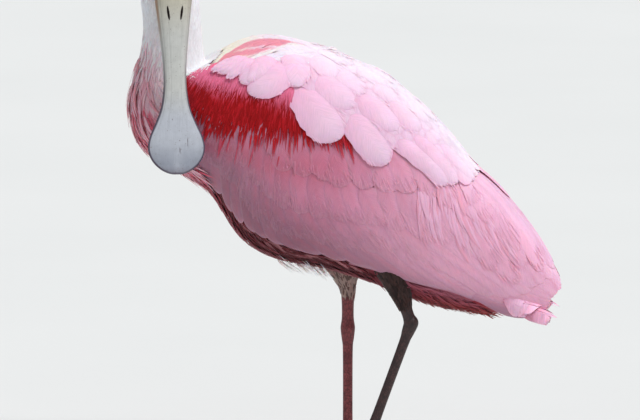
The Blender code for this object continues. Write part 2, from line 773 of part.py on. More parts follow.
def wing(name, side, cad, pieces, materials):
    """One folded wing: the arm, and its tiers of feathers rooted in it."""
    draw = random.Random(SEED)
    obj = arm_solid(name, side, cad, materials["wing_pink"])
    for tier in WING_TIERS:
        for k in range(tier.count):
            share = k / (tier.count - 1)
            s = pair_value((tier.first[0], tier.last[0]), share)
            phi = math.radians(pair_value((tier.first[1], tier.last[1]), share))
            length = pair_value(tier.length, share) * (1 + LENGTH_VARIES * draw.uniform(-1, 1)) * MM
            lean = math.radians(pair_value(tier.lean, share) + LEAN_VARIES * draw.uniform(-1, 1))
            middle, tip = pair_value(tier.middle, share) * MM, pair_value(tier.tip, share) * MM
            depths = (arm_depth(s) + SUNK, middle, tip)
            vane(side, s, phi, lean, length, pair_value(tier.half, share) * MM, depths, pieces)
    boolean(obj, "UNION", collection=pieces)
    keep_largest(obj)
    smooth(obj, 30)
    return obj


def lower_neck(cad, pieces, materials):
    """The lower neck and chest, with shaggy locks hanging down its front and sides."""
    draw = random.Random(SEED + 1)
    start, end = NECK_CUT + CUT_HALF, BREAST_CUT - CUT_HALF
    rings = [trunk_ring(start + (end - start) * k / CHEST_STEPS) for k in range(CHEST_STEPS + 1)]
    obj = loft("neck_lower", rings, cad, materials["plumage_white"])
    for s, length, angles, kind in LOCK_ROWS:
        for side in (LEFT, RIGHT):
            for angle in angles:
                phi = math.radians(angle + draw.uniform(-4, 4))
                longer = length * draw.uniform(0.85, 1.15) * MM
                lean = math.radians(draw.uniform(-6, 10))
                root, lift = s + draw.uniform(-0.12, 0.12), draw.uniform(0.85, 1.15)
                lock(side, root, phi, lean, longer, kind, lift, pieces)
    boolean(obj, "UNION", collection=pieces)
    keep_largest(obj)
    smooth(obj, 40)
    return obj


def lock(side, s, phi, lean, length, kind, lift, collection):
    """A flat tapered lock that leaves the chest at its root and bends away towards its tip."""
    path = outline_path(s, phi, lean, length, side, len(kind.rise) - 1)
    rings = []
    for (there_s, there_phi), rise, share in zip(path, kind.rise, LOCK_WIDTHS):
        _, down = outline_slopes(there_s, there_phi, side)
        half, thick = kind.half * share * MM, max(LOCK_THICK * share, LOCK_THIN) / 2 * MM
        height = rise * lift * MM
        edges = [there_phi - half / down.length, there_phi + half / down.length]
        outer = [outline_point(there_s, edge, side, height + thick) for edge in edges]
        inner = [outline_point(there_s, edge, side, height - thick) for edge in edges]
        rings.append(outer + inner[::-1])
    return loft("lock", rings, collection, slab=True)


def torso_solid(name, cad, material=None, grow=0.0):
    start = BREAST_CUT + CUT_HALF
    stops = [start + (TRUNK_END - start) * k / TORSO_STEPS for k in range(TORSO_STEPS + 1)]
    rings = [trunk_ring(s, grow) for s in stops]
    return loft(name, rings, cad, material)


def torso(cad, materials):
    """The trunk between the lower neck and the tail, with a seat for each wing."""
    obj = torso_solid("torso", cad, materials["plumage_pink"])
    smooth(obj)
    return obj


def tail_frame(row):
    """Centre, direction and upward normal of the tail's middle line at a row of its table."""
    x, z, _, _ = spline(TAIL_MM, row) * MM
    near = spline(TAIL_MM, row + 0.1) - spline(TAIL_MM, row - 0.1)
    along = trunk_end_normal().lerp(Vector((near[0], 0, near[1])).normalized(), smooth_step(0, 1.2, row))
    return Vector((x, MID_Y, z)), along.normalized(), along.cross(Vector((0, 1, 0))).normalized()


def tail_point(row, turn, height=0.0):
    """A point on the outline of the tail, or this far above it. turn runs round from its top."""
    centre, _, up = tail_frame(row)
    _, _, thick, wide = spline(TAIL_MM, row) * MM
    rise, across = signed_power(math.cos(turn), 0.9), signed_power(math.sin(turn), 0.9)
    normal = (up * (math.cos(turn) / thick) + Vector((0, math.sin(turn) / wide, 0))).normalized()
    return centre + up * (thick * rise) + Vector((0, wide * across, 0)) + normal * height


def tail(cad, pieces, materials):
    """The root of the tail, the closed fan of its feathers, and the ring of coverts round it."""
    rings = []
    for k in range(TAIL_STEPS + 1):
        row = TAIL_CORE * k / TAIL_STEPS
        depth = TAIL_SEAT * smooth_step(0, 0.4, row)
        ring = [tail_point(row, 2 * math.pi * j / TAIL_SIDES, -depth) for j in range(TAIL_SIDES)]
        centre = tail_frame(row)[0]
        narrow = 1 - 0.25 * smooth_step(1.3, TAIL_CORE, row)
        rings.append([centre.lerp(point, narrow) for point in ring])
    obj = loft("tail", rings, cad, materials["tail_buff"])
    count, row, spacing, spread, length, half = RECTRICES
    for k in range(count):
        place = k - (count - 1) / 2
        drop = -(abs(place) - 0.5) * RECTRIX_DROP
        fan_vane(row, place * spacing, place * spread, length, half, drop, pieces)
    count, row, length, half = TAIL_COVERTS
    for k in range(count):
        tail_covert(row, 2 * math.pi * (k + 0.5) / count, length, half, pieces)
    boolean(obj, "UNION", collection=pieces)
    keep_largest(obj)
    smooth(obj, 30)
    return obj


def tail_covert(row, turn, length, half, collection):
    """One feather that lies along the outline of the tail and hides the root of what is behind it."""
    rings = []
    for t, share in COVERT_SHAPE:
        there = row + length * t / TAIL_ROW_MM
        radius = (tail_point(there, turn) - tail_frame(there)[0]).length / MM
        level = float(np.interp(t, (0, 0.5, 1), (-1.6 * TAIL_SEAT, -0.3 * TAIL_SEAT, 0)))
        thick = vane_thickness(t) / 2
        outer, inner = [], []
        for u in (-1, 0, 1):
            place = turn + u * share * min(half / radius, 0.7)
            outer.append(tail_point(there, place, level + u * share * LAP + thick))
            inner.append(tail_point(there, place, level + u * share * LAP - thick))
        rings.append(outer + inner[::-1])
    return loft("covert", rings, collection, slab=True)


def fan_vane(row, lateral, turn, length, half, height, collection):
    """One long tail feather, in millimetres and degrees, at this height over the middle line."""
    root, along, up = tail_frame(row)
    end, _, end_up = tail_frame(row + length / TAIL_ROW_MM)
    turn = math.radians(turn)
    rings = []
    for t, share in SHORT_SHAPE:
        straight = root + along * (length * t * MM)
        middle = straight.lerp(root + (end - root) * t, 0.7)
        normal = up.lerp(end_up, t).normalized()
        centre = middle + Vector((0, (lateral + math.sin(turn) * length * t) * MM, 0))
        thick = vane_thickness(t) / 2
        outer, inner = [], []
        for u in (-1, 0, 1):
            point = centre + Vector((0, u * half * share * math.cos(turn) * MM, 0))
            point += normal * (height + RACHIS * (1 - abs(u)))
            outer.append(point + normal * thick)
            inner.append(point - normal * thick)
        rings.append(outer + inner[::-1])
    return loft("vane", rings, collection, slab=True)


def trunk_end_normal():
    row = trunk_row(TRUNK_END)
    across = Vector((row[0] - row[2], 0, row[1] - row[3]))
    return Vector((0, 1, 0)).cross(across).normalized()


def thigh(name, rows, y, side, ankle, cad, material):
    """A feathered thigh, cut clear of the trunk and of the wing over it, square to the shin."""
    stations = [(Vector((x, y / MM, z)) * MM, a * MM, b * MM) for x, z, a, b in smooth_rows(rows, 2)]
    first = (stations[1][0] - stations[0][0]).normalized()
    last = (ankle - stations[-1][0]).normalized()
    obj = sweep(name, stations, cad, material, 16, ends=(first, last))
    boolean(obj, "DIFFERENCE", torso_solid("torso_cutter", cad, None, GAP))
    boolean(obj, "DIFFERENCE", wing_room("wing_cutter", side, cad))
    keep_largest(obj)
    smooth(obj)
    return obj


def smooth_rows(rows, between):
    return [spline(rows, k / between) for k in range(between * (len(rows) - 1) + 1)]


def shank(name, top, ankle, cad, material):
    """The bare shin from the feathering down to just above the ankle joint."""
    along = (ankle - top).normalized()
    top = top + along * GAP
    end = ankle - along * ANKLE_CUT
    stations = [(top.lerp(end, t), SHANK_HALF * k, SHANK_THIN * k) for t, k in SHANK_SHAPE]
    obj = sweep(name, stations, cad, material, 14)
    smooth(obj)
    return obj


def tarsus(name, top, ankle, toe_joint, cad, material):
    """The ankle joint and the long bone under it, its ends square to its neighbours."""
    above = (ankle - top).normalized()
    along = (toe_joint - ankle).normalized()
    start = ankle - above * (ANKLE_CUT - GAP)
    wide = SHANK_SHAPE[-1][1]
    stations = [(start, SHANK_HALF * wide, SHANK_THIN * wide), (ankle, ANKLE_HALF, ANKLE_HALF * 0.95)]
    reach = (toe_joint - ankle).length - FOOT_CUT
    for t, k in TARSUS_SHAPE:
        stations.append((ankle + along * (reach * t), TARSUS_HALF * k, TARSUS_THIN * k))
    obj = sweep(name, stations, cad, material, 14, ends=(above, along))
    smooth(obj)
    return obj


def run_height(run, distance):
    return float(np.interp(distance, [p[0] for p in run], [p[1] for p in run]))


def toe_stations(joint, run, length, turn):
    """Centres and half sizes along a toe that leaves the joint and comes down to the floor."""
    turn = math.radians(turn)
    heading = Vector((-math.cos(turn), math.sin(turn), 0))
    stations, reach, last, before = [], 0.0, None, 0.0
    for share, half in TOE_SHAPE:
        distance = share * length
        floor_height = half * 0.9 - SOLE_SINK / MM
        height = max(run_height(run, distance), floor_height)
        if last is not None:
            drop = last - height
            step = distance - before
            reach += math.sqrt(max(step * step - drop * drop, (0.3 * step) ** 2))
        last, before = height, distance
        point = Vector((joint.x, joint.y, 0)) + heading * (reach * MM) + Vector((0, 0, height * MM))
        stations.append((point, half * MM, half * 0.9 * MM))
    tip = stations[-1][0]
    for share, half, drop in CLAW_SHAPE:
        ahead = tip + heading * (CLAW_MM * share * MM) - Vector((0, 0, drop * MM))
        stations.append((ahead, half * 0.8 * MM, half * MM))
    return stations


def hind_toe_stations(joint, raised):
    stations = []
    for behind, height, half in HIND_RAISED if raised else HIND_FLAT:
        point = Vector((joint.x + behind * MM, joint.y, height * MM))
        stations.append((point, half * MM, half * 0.9 * MM))
    return stations


def web_plate(first, second, collection):
    """Skin between the roots of two toes, with a hollow front edge."""
    rings = []
    for k in range(TOE_WEB_RUNGS):
        a, b = first[k][0], second[k][0]
        middle = (a + b) / 2
        if k:
            middle = middle.lerp((first[k - 1][0] + second[k - 1][0]) / 2, 0.85)
        up = Vector((0, 0, WEB_HALF))
        rings.append([a - up, middle - up, b - up, b + up, middle + up, a + up])
    return loft("web", rings, collection)


def foot(name, joint, toes, run, raised, along, cad, pieces, material):
    """A whole foot, its underside cut flat where it stands on the floor."""
    paths = [toe_stations(joint, run, length, turn) for length, turn in toes]
    across = Vector((0, 1, 0))
    for stations in paths[1:] + [hind_toe_stations(joint, raised)]:
        sweep("toe", stations, pieces, None, TOE_COUNT, across)
    web_plate(paths[0], paths[1], pieces)
    web_plate(paths[0], paths[2], pieces)
    wide = TARSUS_SHAPE[-1][1]
    stations = [(joint - along * (FOOT_CUT - GAP), TARSUS_HALF * wide, TARSUS_THIN * wide)]
    for depth, half in BALL_MM:
        stations.append((joint + along * (depth * MM), half * MM, half * MM))
    sweep("ball", stations, pieces, None, 12, Vector((1, 0, 0)))
    obj = sweep(name, paths[0], cad, material, TOE_COUNT, across)
    boolean(obj, "UNION", collection=pieces)
    floor = block("floor", Vector((joint.x, joint.y, -FLOOR_SIZE.z / 2)), FLOOR_SIZE, cad)
    boolean(obj, "DIFFERENCE", floor)
    keep_largest(obj)
    smooth(obj, 40)
    return obj


def legs(cad, pieces, materials):
    """Both legs: the right one straight on a flat foot, the left one bent with its heel raised."""
    sides = (
        ("right", RIGHT, RIGHT_THIGH_MM, RIGHT_Y, RIGHT_ANKLE, RIGHT_BALL, RIGHT_TOES, FLAT_RUN, "leg_red"),
        ("left", LEFT, LEFT_THIGH_MM, LEFT_Y, LEFT_ANKLE, LEFT_BALL, LEFT_TOES, RAISED_RUN, "leg_dark"),
    )
    for word, side, rows, y, ankle, joint, toes, run, skin in sides:
        top = Vector((rows[-1][0] * MM, y, rows[-1][1] * MM))
        thigh(f"thigh_{word}", rows, y, side, ankle, cad, materials["thigh_rose"])
        shank(f"shank_{word}", top, ankle, cad, materials[skin])
        tarsus(f"tarsus_{word}", top, ankle, joint, cad, materials[skin])
        along = (joint - ankle).normalized()
        foot(f"foot_{word}", joint, toes, run, word == "left", along, cad, pieces, materials[skin])


def main():
    clear_scene()
    cad = make_collection("roseate_spoonbill")
    pieces = make_collection("pieces")
    materials = make_materials()
    upper_bill(cad, materials)
    lower_bill(cad, materials)
    head_and_eyes(cad, pieces, materials)
    upper_neck(cad, materials)
    lower_neck(cad, pieces, materials)
    torso(cad, materials)
    tail(cad, pieces, materials)
    for side, name in ((LEFT, "wing_left"), (RIGHT, "wing_right")):
        wing(name, side, cad, pieces, materials)
    legs(cad, pieces, materials)


main()
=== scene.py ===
"""Looks of the roseate spoonbill: skin, plumage, bill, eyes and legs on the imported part.

Units are metres, +Z is up, the bird faces -X and its left side is towards -Y.
Tables repeat the part's own sizes in millimetres and are turned into metres by MM.
"""

import math
from collections import namedtuple

import bpy
import numpy as np
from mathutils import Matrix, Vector

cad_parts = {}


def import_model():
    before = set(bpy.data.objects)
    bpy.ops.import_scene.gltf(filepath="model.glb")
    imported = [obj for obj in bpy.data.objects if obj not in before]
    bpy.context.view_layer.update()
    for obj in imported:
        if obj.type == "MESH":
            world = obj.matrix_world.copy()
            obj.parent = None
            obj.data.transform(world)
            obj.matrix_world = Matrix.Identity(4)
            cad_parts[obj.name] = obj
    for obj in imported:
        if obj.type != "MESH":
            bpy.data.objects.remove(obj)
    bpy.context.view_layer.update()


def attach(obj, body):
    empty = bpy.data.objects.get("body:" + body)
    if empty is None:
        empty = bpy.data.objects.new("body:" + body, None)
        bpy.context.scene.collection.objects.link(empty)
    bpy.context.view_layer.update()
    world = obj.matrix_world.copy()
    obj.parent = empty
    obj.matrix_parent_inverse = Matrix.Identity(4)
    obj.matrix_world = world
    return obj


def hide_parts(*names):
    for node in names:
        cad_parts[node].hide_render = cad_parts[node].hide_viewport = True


MM = 0.001
MID_Y = -24 * MM
LEFT, RIGHT = -1, 1
BOXY = 0.82
SEED = 11

# Plumage outline of neck, trunk and folded wings: back x, back z, front x, front z, half width
OUTLINE = MM * np.array([
    (-137, 450, -183, 454, 20),
    (-132, 423, -184, 425, 22),
    (-130, 401, -182, 401, 24),
    (-128, 380, -184, 376, 27),
    (-125, 367, -191, 348, 33),
    (-112, 378, -193, 323, 43),
    (-92, 387, -184, 296, 52),
    (-65, 390, -158, 275, 59),
    (-34, 383, -126, 254, 63),
    (-3, 372, -96, 211, 65),
    (33, 356, -65, 192, 65),
    (60, 334, -25, 184, 63),
    (86, 309, 15, 175, 59),
    (111, 279, 55, 162, 53),
    (135, 257, 91, 151, 46),
    (155, 234, 122, 141, 39),
    (171, 212, 146, 136, 33),
    (183, 192, 166, 136, 27),
    (194, 172, 184, 141, 20),
], float)
TRUNK_FROM, TRUNK_END = 10, 15.0
TRUNK_REAR = MM * np.array([
    (33, 353, -65, 192, 61),
    (57, 322, -25, 184, 57),
    (80, 287, 12, 173, 49),
    (98, 252, 50, 160, 39),
    (112, 222, 82, 150, 29),
    (122, 199, 104, 146, 20),
], float)
BREAST_CUT = 5.9
# Upper neck, from behind the head down: centre x, y, z, half size across x, half size along y
NECK = MM * np.array([
    (-154.5, -46, 504, 14.0, 13.0),
    (-154.5, -35, 507, 16.5, 15.0),
    (-155, -24, 500, 17.5, 15.5),
    (-156, -17, 484, 19.0, 16.5),
    (-157.5, -17, 465, 21.5, 18.0),
    (-158.5, -20, 445, 24.0, 20.0),
], float)

BILL_BASE = np.array((-154.5 * MM, MID_Y - 42 * MM, 449 * MM))
BILL_TILT, BILL_ROLL, BILL_DRIFT = math.radians(12), math.radians(10), 0.023
# distance from the base, half width, height of the upper bill, depth of the lower bill
BILL = MM * np.array([
    (0, 18.2, 12.5, 9.5),
    (19, 16.8, 10.6, 8.4),
    (44, 14.0, 8.2, 6.6),
    (73, 11.0, 6.2, 5.0),
    (94, 10.2, 5.0, 4.0),
    (109, 11.5, 4.4, 3.4),
    (120, 13.9, 4.0, 3.1),
    (131, 18.3, 3.8, 2.9),
    (142, 23.2, 3.6, 2.7),
    (151, 25.2, 3.5, 2.6),
    (159, 24.2, 3.4, 2.5),
    (166, 20.4, 3.2, 2.3),
    (171.5, 14.6, 3.0, 2.1),
    (174.8, 8.4, 2.6, 1.8),
    (176, 3.6, 2.1, 1.4),
], float)
MOUTH_GAP, LOWER_INSET = 0.45 * MM, 0.5 * MM
NOSTRIL_AT, NOSTRIL_HALF_LENGTH, NOSTRIL_HALF = 34.5 * MM, 6.2 * MM, 0.95 * MM
NOSTRIL_SIDE, NOSTRIL_DEPTH, NOSTRIL_SLANT = 5.9 * MM, 2.2 * MM, math.radians(8)

HEAD_BEND = math.radians(15)
# distance behind the bill base, half width, height, depth
HEAD = MM * np.array([
    (0, 18.4, 12.9, 9.9),
    (7, 18.8, 16.0, 13.0),
    (17, 19.8, 19.2, 16.0),
    (30, 20.6, 20.8, 17.5),
    (42, 19.8, 20.2, 17.0),
    (52, 16.6, 16.8, 14.5),
    (59, 11.4, 11.4, 10.0),
    (62.5, 5.0, 5.0, 4.5),
], float)
EYE_RADIUS = 5.2 * MM
EYE_BACK, EYE_UP, EYE_SIDE = 15 * MM, 5.0 * MM, 15.8 * MM

WING_FRONT, WING_HALF, WING_TIP = 6.15, 11.7, 18.0
WING_TOP, WING_LOW, WING_LOWEST = math.radians(11), math.radians(126), math.radians(143)
ARM_SHALLOW, ARM_DEEP, ARM_THICK, ARM_EDGE = 2.2 * MM, 6.0 * MM, 6.0 * MM, 1.8 * MM
SEAT_SPARE, SADDLE = 1.8 * MM, 5.0 * MM
FEATHER_HIGHEST = math.radians(0)

# Tail: centre x, y, z, half thickness, half width
TAIL = MM * np.array([
    (113.5, -24, 171.5, 26.0, 19.5),
    (127, -24, 162, 18.5, 20.5),
    (141, -24, 154, 10.5, 21.5),
    (157, -24, 147, 5.0, 23.5),
    (171, -24, 141, 2.8, 25.5),
    (179, -24, 138, 1.5, 24.0),
], float)
TAIL_ROW = 15.5 * MM
TAIL_CORE = 2.1

# Thighs: centre x, y, z, half size along x, half size along y
RIGHT_THIGH = MM * np.array([
    (-6, 0, 214, 22, 19),
    (-4, 0, 196, 21, 18),
    (-2, 0, 180, 18, 16),
    (-1.5, 0, 170, 11.5, 11),
    (-0.5, 0, 163, 7.8, 7.6),
    (0, 0, 159, 6.9, 6.8),
], float)
LEFT_THIGH = MM * np.array([
    (34, -48, 212, 21, 18),
    (38, -48, 194, 18.5, 16),
    (43, -48, 177, 14, 12.5),
    (46.5, -48, 165, 10, 9.5),
    (49, -48, 156.5, 7.8, 7.6),
], float)
RIGHT_ANKLE, LEFT_ANKLE = MM * np.array((0, 0, 124.0)), MM * np.array((56, -48, 136.0))
RIGHT_BALL, LEFT_BALL = MM * np.array((0, 0, 8.4)), MM * np.array((16.7, -48, 28.0))
SHANK_HALF, SHANK_THIN, ANKLE_HALF = 5.9 * MM, 5.2 * MM, 6.6 * MM
TARSUS_HALF, TARSUS_THIN = 4.6 * MM, 3.8 * MM
SOLE_SINK, CLAW = 0.5, 8
# length and direction of each front toe, degrees towards +Y
RIGHT_TOES = ((62, 0), (50, -31), (54, 30))
LEFT_TOES = ((62, 2), (50, 33), (54, -28))
TOE_SHAPE = ((0.0, 4.4), (0.12, 4.0), (0.3, 3.3), (0.41, 3.8), (0.53, 3.1),
             (0.69, 3.4), (0.82, 2.7), (1.0, 2.4))
FLAT_RUN = ((0, 5.6), (7, 4.6), (13, 3.5), (18, 2.9))
RAISED_RUN = ((0, 28), (10, 21.5), (20, 13), (29, 6.5), (37, 2.9))
HIND_FLAT = ((0, 5.6, 4.0), (8, 4.4, 3.2), (15, 3.0, 3.0), (22, 2.2, 2.5), (26, 1.9, 1.4))
HIND_RAISED = ((0, 28, 3.8), (4, 21, 3.2), (7.5, 14, 3.0), (10, 8.5, 2.5), (12, 4.4, 1.5))
BALL = ((0, 6.0), (3.5, 6.1), (7.0, 4.9), (9.6, 2.6))
WEB_HALF = 0.7 * MM

SKIN_VOXEL, LEG_VOXEL = 1.6 * MM, 0.85 * MM
COAT_DEPTH = 2.6 * MM
PATCH = 0.003  # size of one feather on the baking map


def srgb(red, green, blue):
    """A colour given on a 0 to 255 scale, as linear light."""
    value = np.array((red, green, blue), float) / 255
    return np.where(value < 0.04045, value / 12.92, ((value + 0.055) / 1.055) ** 2.4)


WHITE_PINK = srgb(255, 226, 238)
SCAPULAR = srgb(255, 190, 217)
# Deeper pink at the roots of the shoulder lobes: painted shade in the folds between them.
SCAPULAR_FOLD_SHADE = srgb(240, 140, 176)
ROSE = srgb(224, 138, 166)
ROSE_ROOT = srgb(202, 84, 112)
# Paler rose at the feather edges and tips: painted light shining through the thin vanes.
ROSE_EDGE = srgb(242, 190, 206)
# Darker mauve rose of the lower wing: painted shade under the light from above.
WING_LOWER_SHADED = srgb(152, 100, 118)
# Duller, darker rose for the front of the wing: painted shade on the side facing away from the light.
WING_FRONT_SHADED = srgb(176, 118, 138)
# Paler, warmer pink at the rear of the wing: partly its own colour, partly painted light from behind and above.
WING_REAR = srgb(255, 176, 203)
CARMINE = srgb(162, 4, 11)
CARMINE_BRIGHT = srgb(204, 20, 32)
STREAK = srgb(206, 84, 108)
MAGENTA = srgb(255, 120, 156)
CREAM = srgb(253, 236, 219)
SALMON = srgb(247, 138, 156)
NECK_WHITE = srgb(255, 245, 246)
NECK_PINK = srgb(236, 176, 190)
CRIMSON = srgb(206, 66, 92)
# Dark belly rose: painted shade under the body.
BELLY_SHADED = srgb(132, 44, 56)
# Deep red of the undertail coverts, made darker still as painted shade.
UNDERTAIL = srgb(140, 44, 48)
TAIL_CORAL = srgb(226, 120, 128)
THIGH_ROSE = srgb(172, 140, 132)
THIGH_DUSK = srgb(88, 62, 58)
THIGH_BLACK = srgb(42, 28, 27)


def smooth_step(low, high, x):
    t = np.clip((np.asarray(x, float) - low) / (high - low), 0, 1)
    return t * t * (3 - 2 * t)


def mix(one, two, share):
    share = np.asarray(share, float)[..., None]
    return one * (1 - share) + two * share


def power_of(x, power):
    return np.sign(x) * np.abs(x) ** power


def unit(vectors):
    return vectors / np.maximum(np.linalg.norm(vectors, axis=-1, keepdims=True), 1e-12)


def spline(rows, s):
    """Catmull-Rom through the rows of a table at many row numbers, straight past its ends."""
    s = np.asarray(s, float)
    last = len(rows) - 1
    i = np.clip(np.floor(s).astype(int), 0, last - 1)
    t = (s - i)[..., None]
    padded = np.vstack([2 * rows[0] - rows[1], rows, 2 * rows[-1] - rows[-2]])
    before, a, b, after = (padded[i + k] for k in range(4))
    curve = 0.5 * (2 * a + (b - before) * t + (2 * before - 5 * a + 4 * b - after) * t ** 2
                   + (3 * a - before - 3 * b + after) * t ** 3)
    return np.where((t < 0) | (t > 1), a + (b - a) * t, curve)


class Surface:
    """A body surface: a runs along it as its feathers lie, b goes round it from its back."""

    def slopes(self, a, b):
        step = 0.01
        along = (self.base(a + step, b) - self.base(a - step, b)) / (2 * step)
        across = (self.base(a, b + step) - self.base(a, b - step)) / (2 * step)
        return along, across

    def settle(self):
        """Finds which way round the slopes' cross product points out of the body."""
        self.turn = 1.0
        a, b = np.array([self.reach / 2]), np.array([1.0])
        outward = self.base(a, b) - self.centre(a)
        self.turn = float(np.sign((self.normal(a, b) * outward).sum()))

    def normal(self, a, b):
        along, across = self.slopes(a, b)
        return self.turn * unit(np.cross(along, across))

    def point(self, a, b, height):
        return self.base(a, b) + self.normal(a, b) * np.asarray(height)[..., None]

    def unwrap(self, a, b):
        """Place on the baking map: an unrolling of this surface, in its own strip of the map."""
        low, high = self.strip
        u = low + (high - low) * np.clip((a + 0.5) / (self.reach + 1), 0, 1)
        v = 0.5 + 0.94 * ((b + math.pi) % (2 * math.pi) - math.pi) / (2 * math.pi)
        return np.stack([u, v], -1)


class Trunk(Surface):
    """Sections between a back and a front line. b is negative on the left side."""

    def __init__(self, rows, strip=(0.2, 0.98)):
        self.rows, self.strip, self.reach = rows, strip, len(rows) - 1
        self.two_sided = True
        self.settle()

    def centre(self, a):
        row = spline(self.rows, a)
        x, z = (row[..., 0] + row[..., 2]) / 2, (row[..., 1] + row[..., 3]) / 2
        return np.stack([x, np.full_like(x, MID_Y), z], -1)

    def base(self, a, b):
        a, b = np.broadcast_arrays(a, b)
        row = spline(self.rows, a)
        across, up = power_of(np.sin(b), BOXY), power_of(np.cos(b), BOXY)
        x = (row[..., 0] + row[..., 2]) / 2 + (row[..., 0] - row[..., 2]) / 2 * up
        z = (row[..., 1] + row[..., 3]) / 2 + (row[..., 1] - row[..., 3]) / 2 * up
        return np.stack([x, MID_Y + row[..., 4] * across, z], -1)


class Tube(Surface):
    """Ovals square to a path. b starts at the lead direction."""

    def __init__(self, rows, lead, strip=(0.02, 0.98), power=1.0):
        self.rows, self.lead, self.strip, self.power = rows, np.array(lead, float), strip, power
        self.reach = len(rows) - 1
        self.two_sided = False
        self.settle()

    def centre(self, a):
        return spline(self.rows, a)[..., :3]

    def axes(self, a):
        along = unit(self.centre(np.asarray(a) + 0.02) - self.centre(np.asarray(a) - 0.02))
        first = unit(self.lead - along * (along @ self.lead)[..., None])
        return along, first, np.cross(along, first)

    def base(self, a, b):
        a, b = np.broadcast_arrays(a, b)
        row = spline(self.rows, a)
        _, first, second = self.axes(a)
        across, up = power_of(np.sin(b), self.power), power_of(np.cos(b), self.power)
        return (row[..., :3] + first * (row[..., 3] * up)[..., None]
                + second * (row[..., 4] * across)[..., None])


WINGS = Trunk(OUTLINE)
BODY = Trunk(np.vstack([OUTLINE[:TRUNK_FROM], TRUNK_REAR]))
NECK_TUBE = Tube(NECK, (1, 0, 0), strip=(0.02, 0.18))
TAIL_TUBE = Tube(TAIL, (0, 0, 1), power=0.9)
RIGHT_THIGH_TUBE = Tube(RIGHT_THIGH, (1, 0, 0))
LEFT_THIGH_TUBE = Tube(LEFT_THIGH, (1, 0, 0))


# Meshes

def mesh_object(name, points, loops, starts):
    """A mesh from flat arrays: corner points, the point of each loop, and where each face starts."""
    mesh = bpy.data.meshes.new(name)
    mesh.vertices.add(len(points))
    mesh.vertices.foreach_set("co", np.ascontiguousarray(points, np.float32).ravel())
    mesh.loops.add(len(loops))
    mesh.loops.foreach_set("vertex_index", np.ascontiguousarray(loops, np.int32))
    mesh.polygons.add(len(starts))
    mesh.polygons.foreach_set("loop_start", np.ascontiguousarray(starts, np.int32))
    mesh.update(calc_edges=True)
    obj = bpy.data.objects.new(name, mesh)
    bpy.context.scene.collection.objects.link(obj)
    return obj


def loft_faces(rows, count):
    """Loops and starts of a closed loft with rows rings of count points, and a cap at each end."""
    i, j = np.meshgrid(np.arange(rows - 1), np.arange(count), indexing="ij")
    here, there = i * count + j, i * count + (j + 1) % count
    quads = np.stack([here, there, there + count, here + count], -1).reshape(-1, 4)
    first = np.arange(count)[::-1]
    last = (rows - 1) * count + np.arange(count)
    loops = np.concatenate([quads.ravel(), first, last])
    starts = np.concatenate([np.arange(len(quads)) * 4, [quads.size, quads.size + count]])
    return loops, starts


def loft(name, rings):
    rings = np.asarray(rings, float)
    loops, starts = loft_faces(rings.shape[0], rings.shape[1])
    obj = mesh_object(name, rings.reshape(-1, 3), loops, starts)
    return fix_normals(obj)


def fix_normals(obj):
    """Turns every face of a closed mesh outward, from the sign of its volume."""
    mesh = obj.data
    mesh.calc_loop_triangles()
    points = np.empty(len(mesh.vertices) * 3, np.float32)
    mesh.vertices.foreach_get("co", points)
    triangles = np.empty(len(mesh.loop_triangles) * 3, np.int32)
    mesh.loop_triangles.foreach_get("vertices", triangles)
    corners = points.reshape(-1, 3)[triangles.reshape(-1, 3)].astype(float)
    if np.linalg.det(corners - corners.mean((0, 1))).sum() < 0:
        mesh.flip_normals()
    return obj


def joined(name, objects):
    """One mesh holding several closed ones, which are removed."""
    points, loops, starts, base, loop_base = [], [], [], 0, 0
    for obj in objects:
        mesh = obj.data
        co = np.empty(len(mesh.vertices) * 3, np.float32)
        mesh.vertices.foreach_get("co", co)
        index = np.empty(len(mesh.loops), np.int32)
        mesh.loops.foreach_get("vertex_index", index)
        start = np.empty(len(mesh.polygons), np.int32)
        mesh.polygons.foreach_get("loop_start", start)
        points.append(co.reshape(-1, 3))
        loops.append(index + base)
        starts.append(start + loop_base)
        base, loop_base = base + len(mesh.vertices), loop_base + len(mesh.loops)
        bpy.data.objects.remove(obj, do_unlink=True)
    return mesh_object(name, np.concatenate(points), np.concatenate(loops), np.concatenate(starts))


def fused(name, objects, voxel, smoothing):
    """One skin over overlapping closed pieces."""
    obj = joined(name, objects)
    remesh = obj.modifiers.new("fuse", "REMESH")
    remesh.mode = "VOXEL"
    remesh.voxel_size = voxel
    relax = obj.modifiers.new("relax", "SMOOTH")
    relax.factor, relax.iterations = 0.5, smoothing
    graph = bpy.context.evaluated_depsgraph_get()
    mesh = bpy.data.meshes.new_from_object(obj.evaluated_get(graph))
    obj.modifiers.clear()
    obj.data = mesh
    mesh.shade_smooth()
    return obj


def coordinates(obj):
    points = np.empty(len(obj.data.vertices) * 3, np.float32)
    obj.data.vertices.foreach_get("co", points)
    return points.reshape(-1, 3).astype(float)


def set_coordinates(obj, points):
    obj.data.vertices.foreach_set("co", np.ascontiguousarray(points, np.float32).ravel())
    obj.data.update()


def point_colour(obj, name, values):
    """Stores one colour or vector for each point of the mesh."""
    layer = obj.data.attributes.new(name, "FLOAT_COLOR", "POINT")
    full = np.ones((len(values), 4), np.float32)
    full[:, :3] = values
    layer.data.foreach_set("color", full.ravel())


def waves(points, size, draw, count=7):
    """Smooth noise between about -1 and 1 whose bumps are about this size."""
    total = np.zeros(len(points))
    for _ in range(count):
        direction = unit(draw.normal(size=3)) * (2 * math.pi / size) * draw.uniform(0.6, 1.5)
        total += np.sin(points @ direction + draw.uniform(0, 2 * math.pi))
    return total / math.sqrt(count)


# Feathers

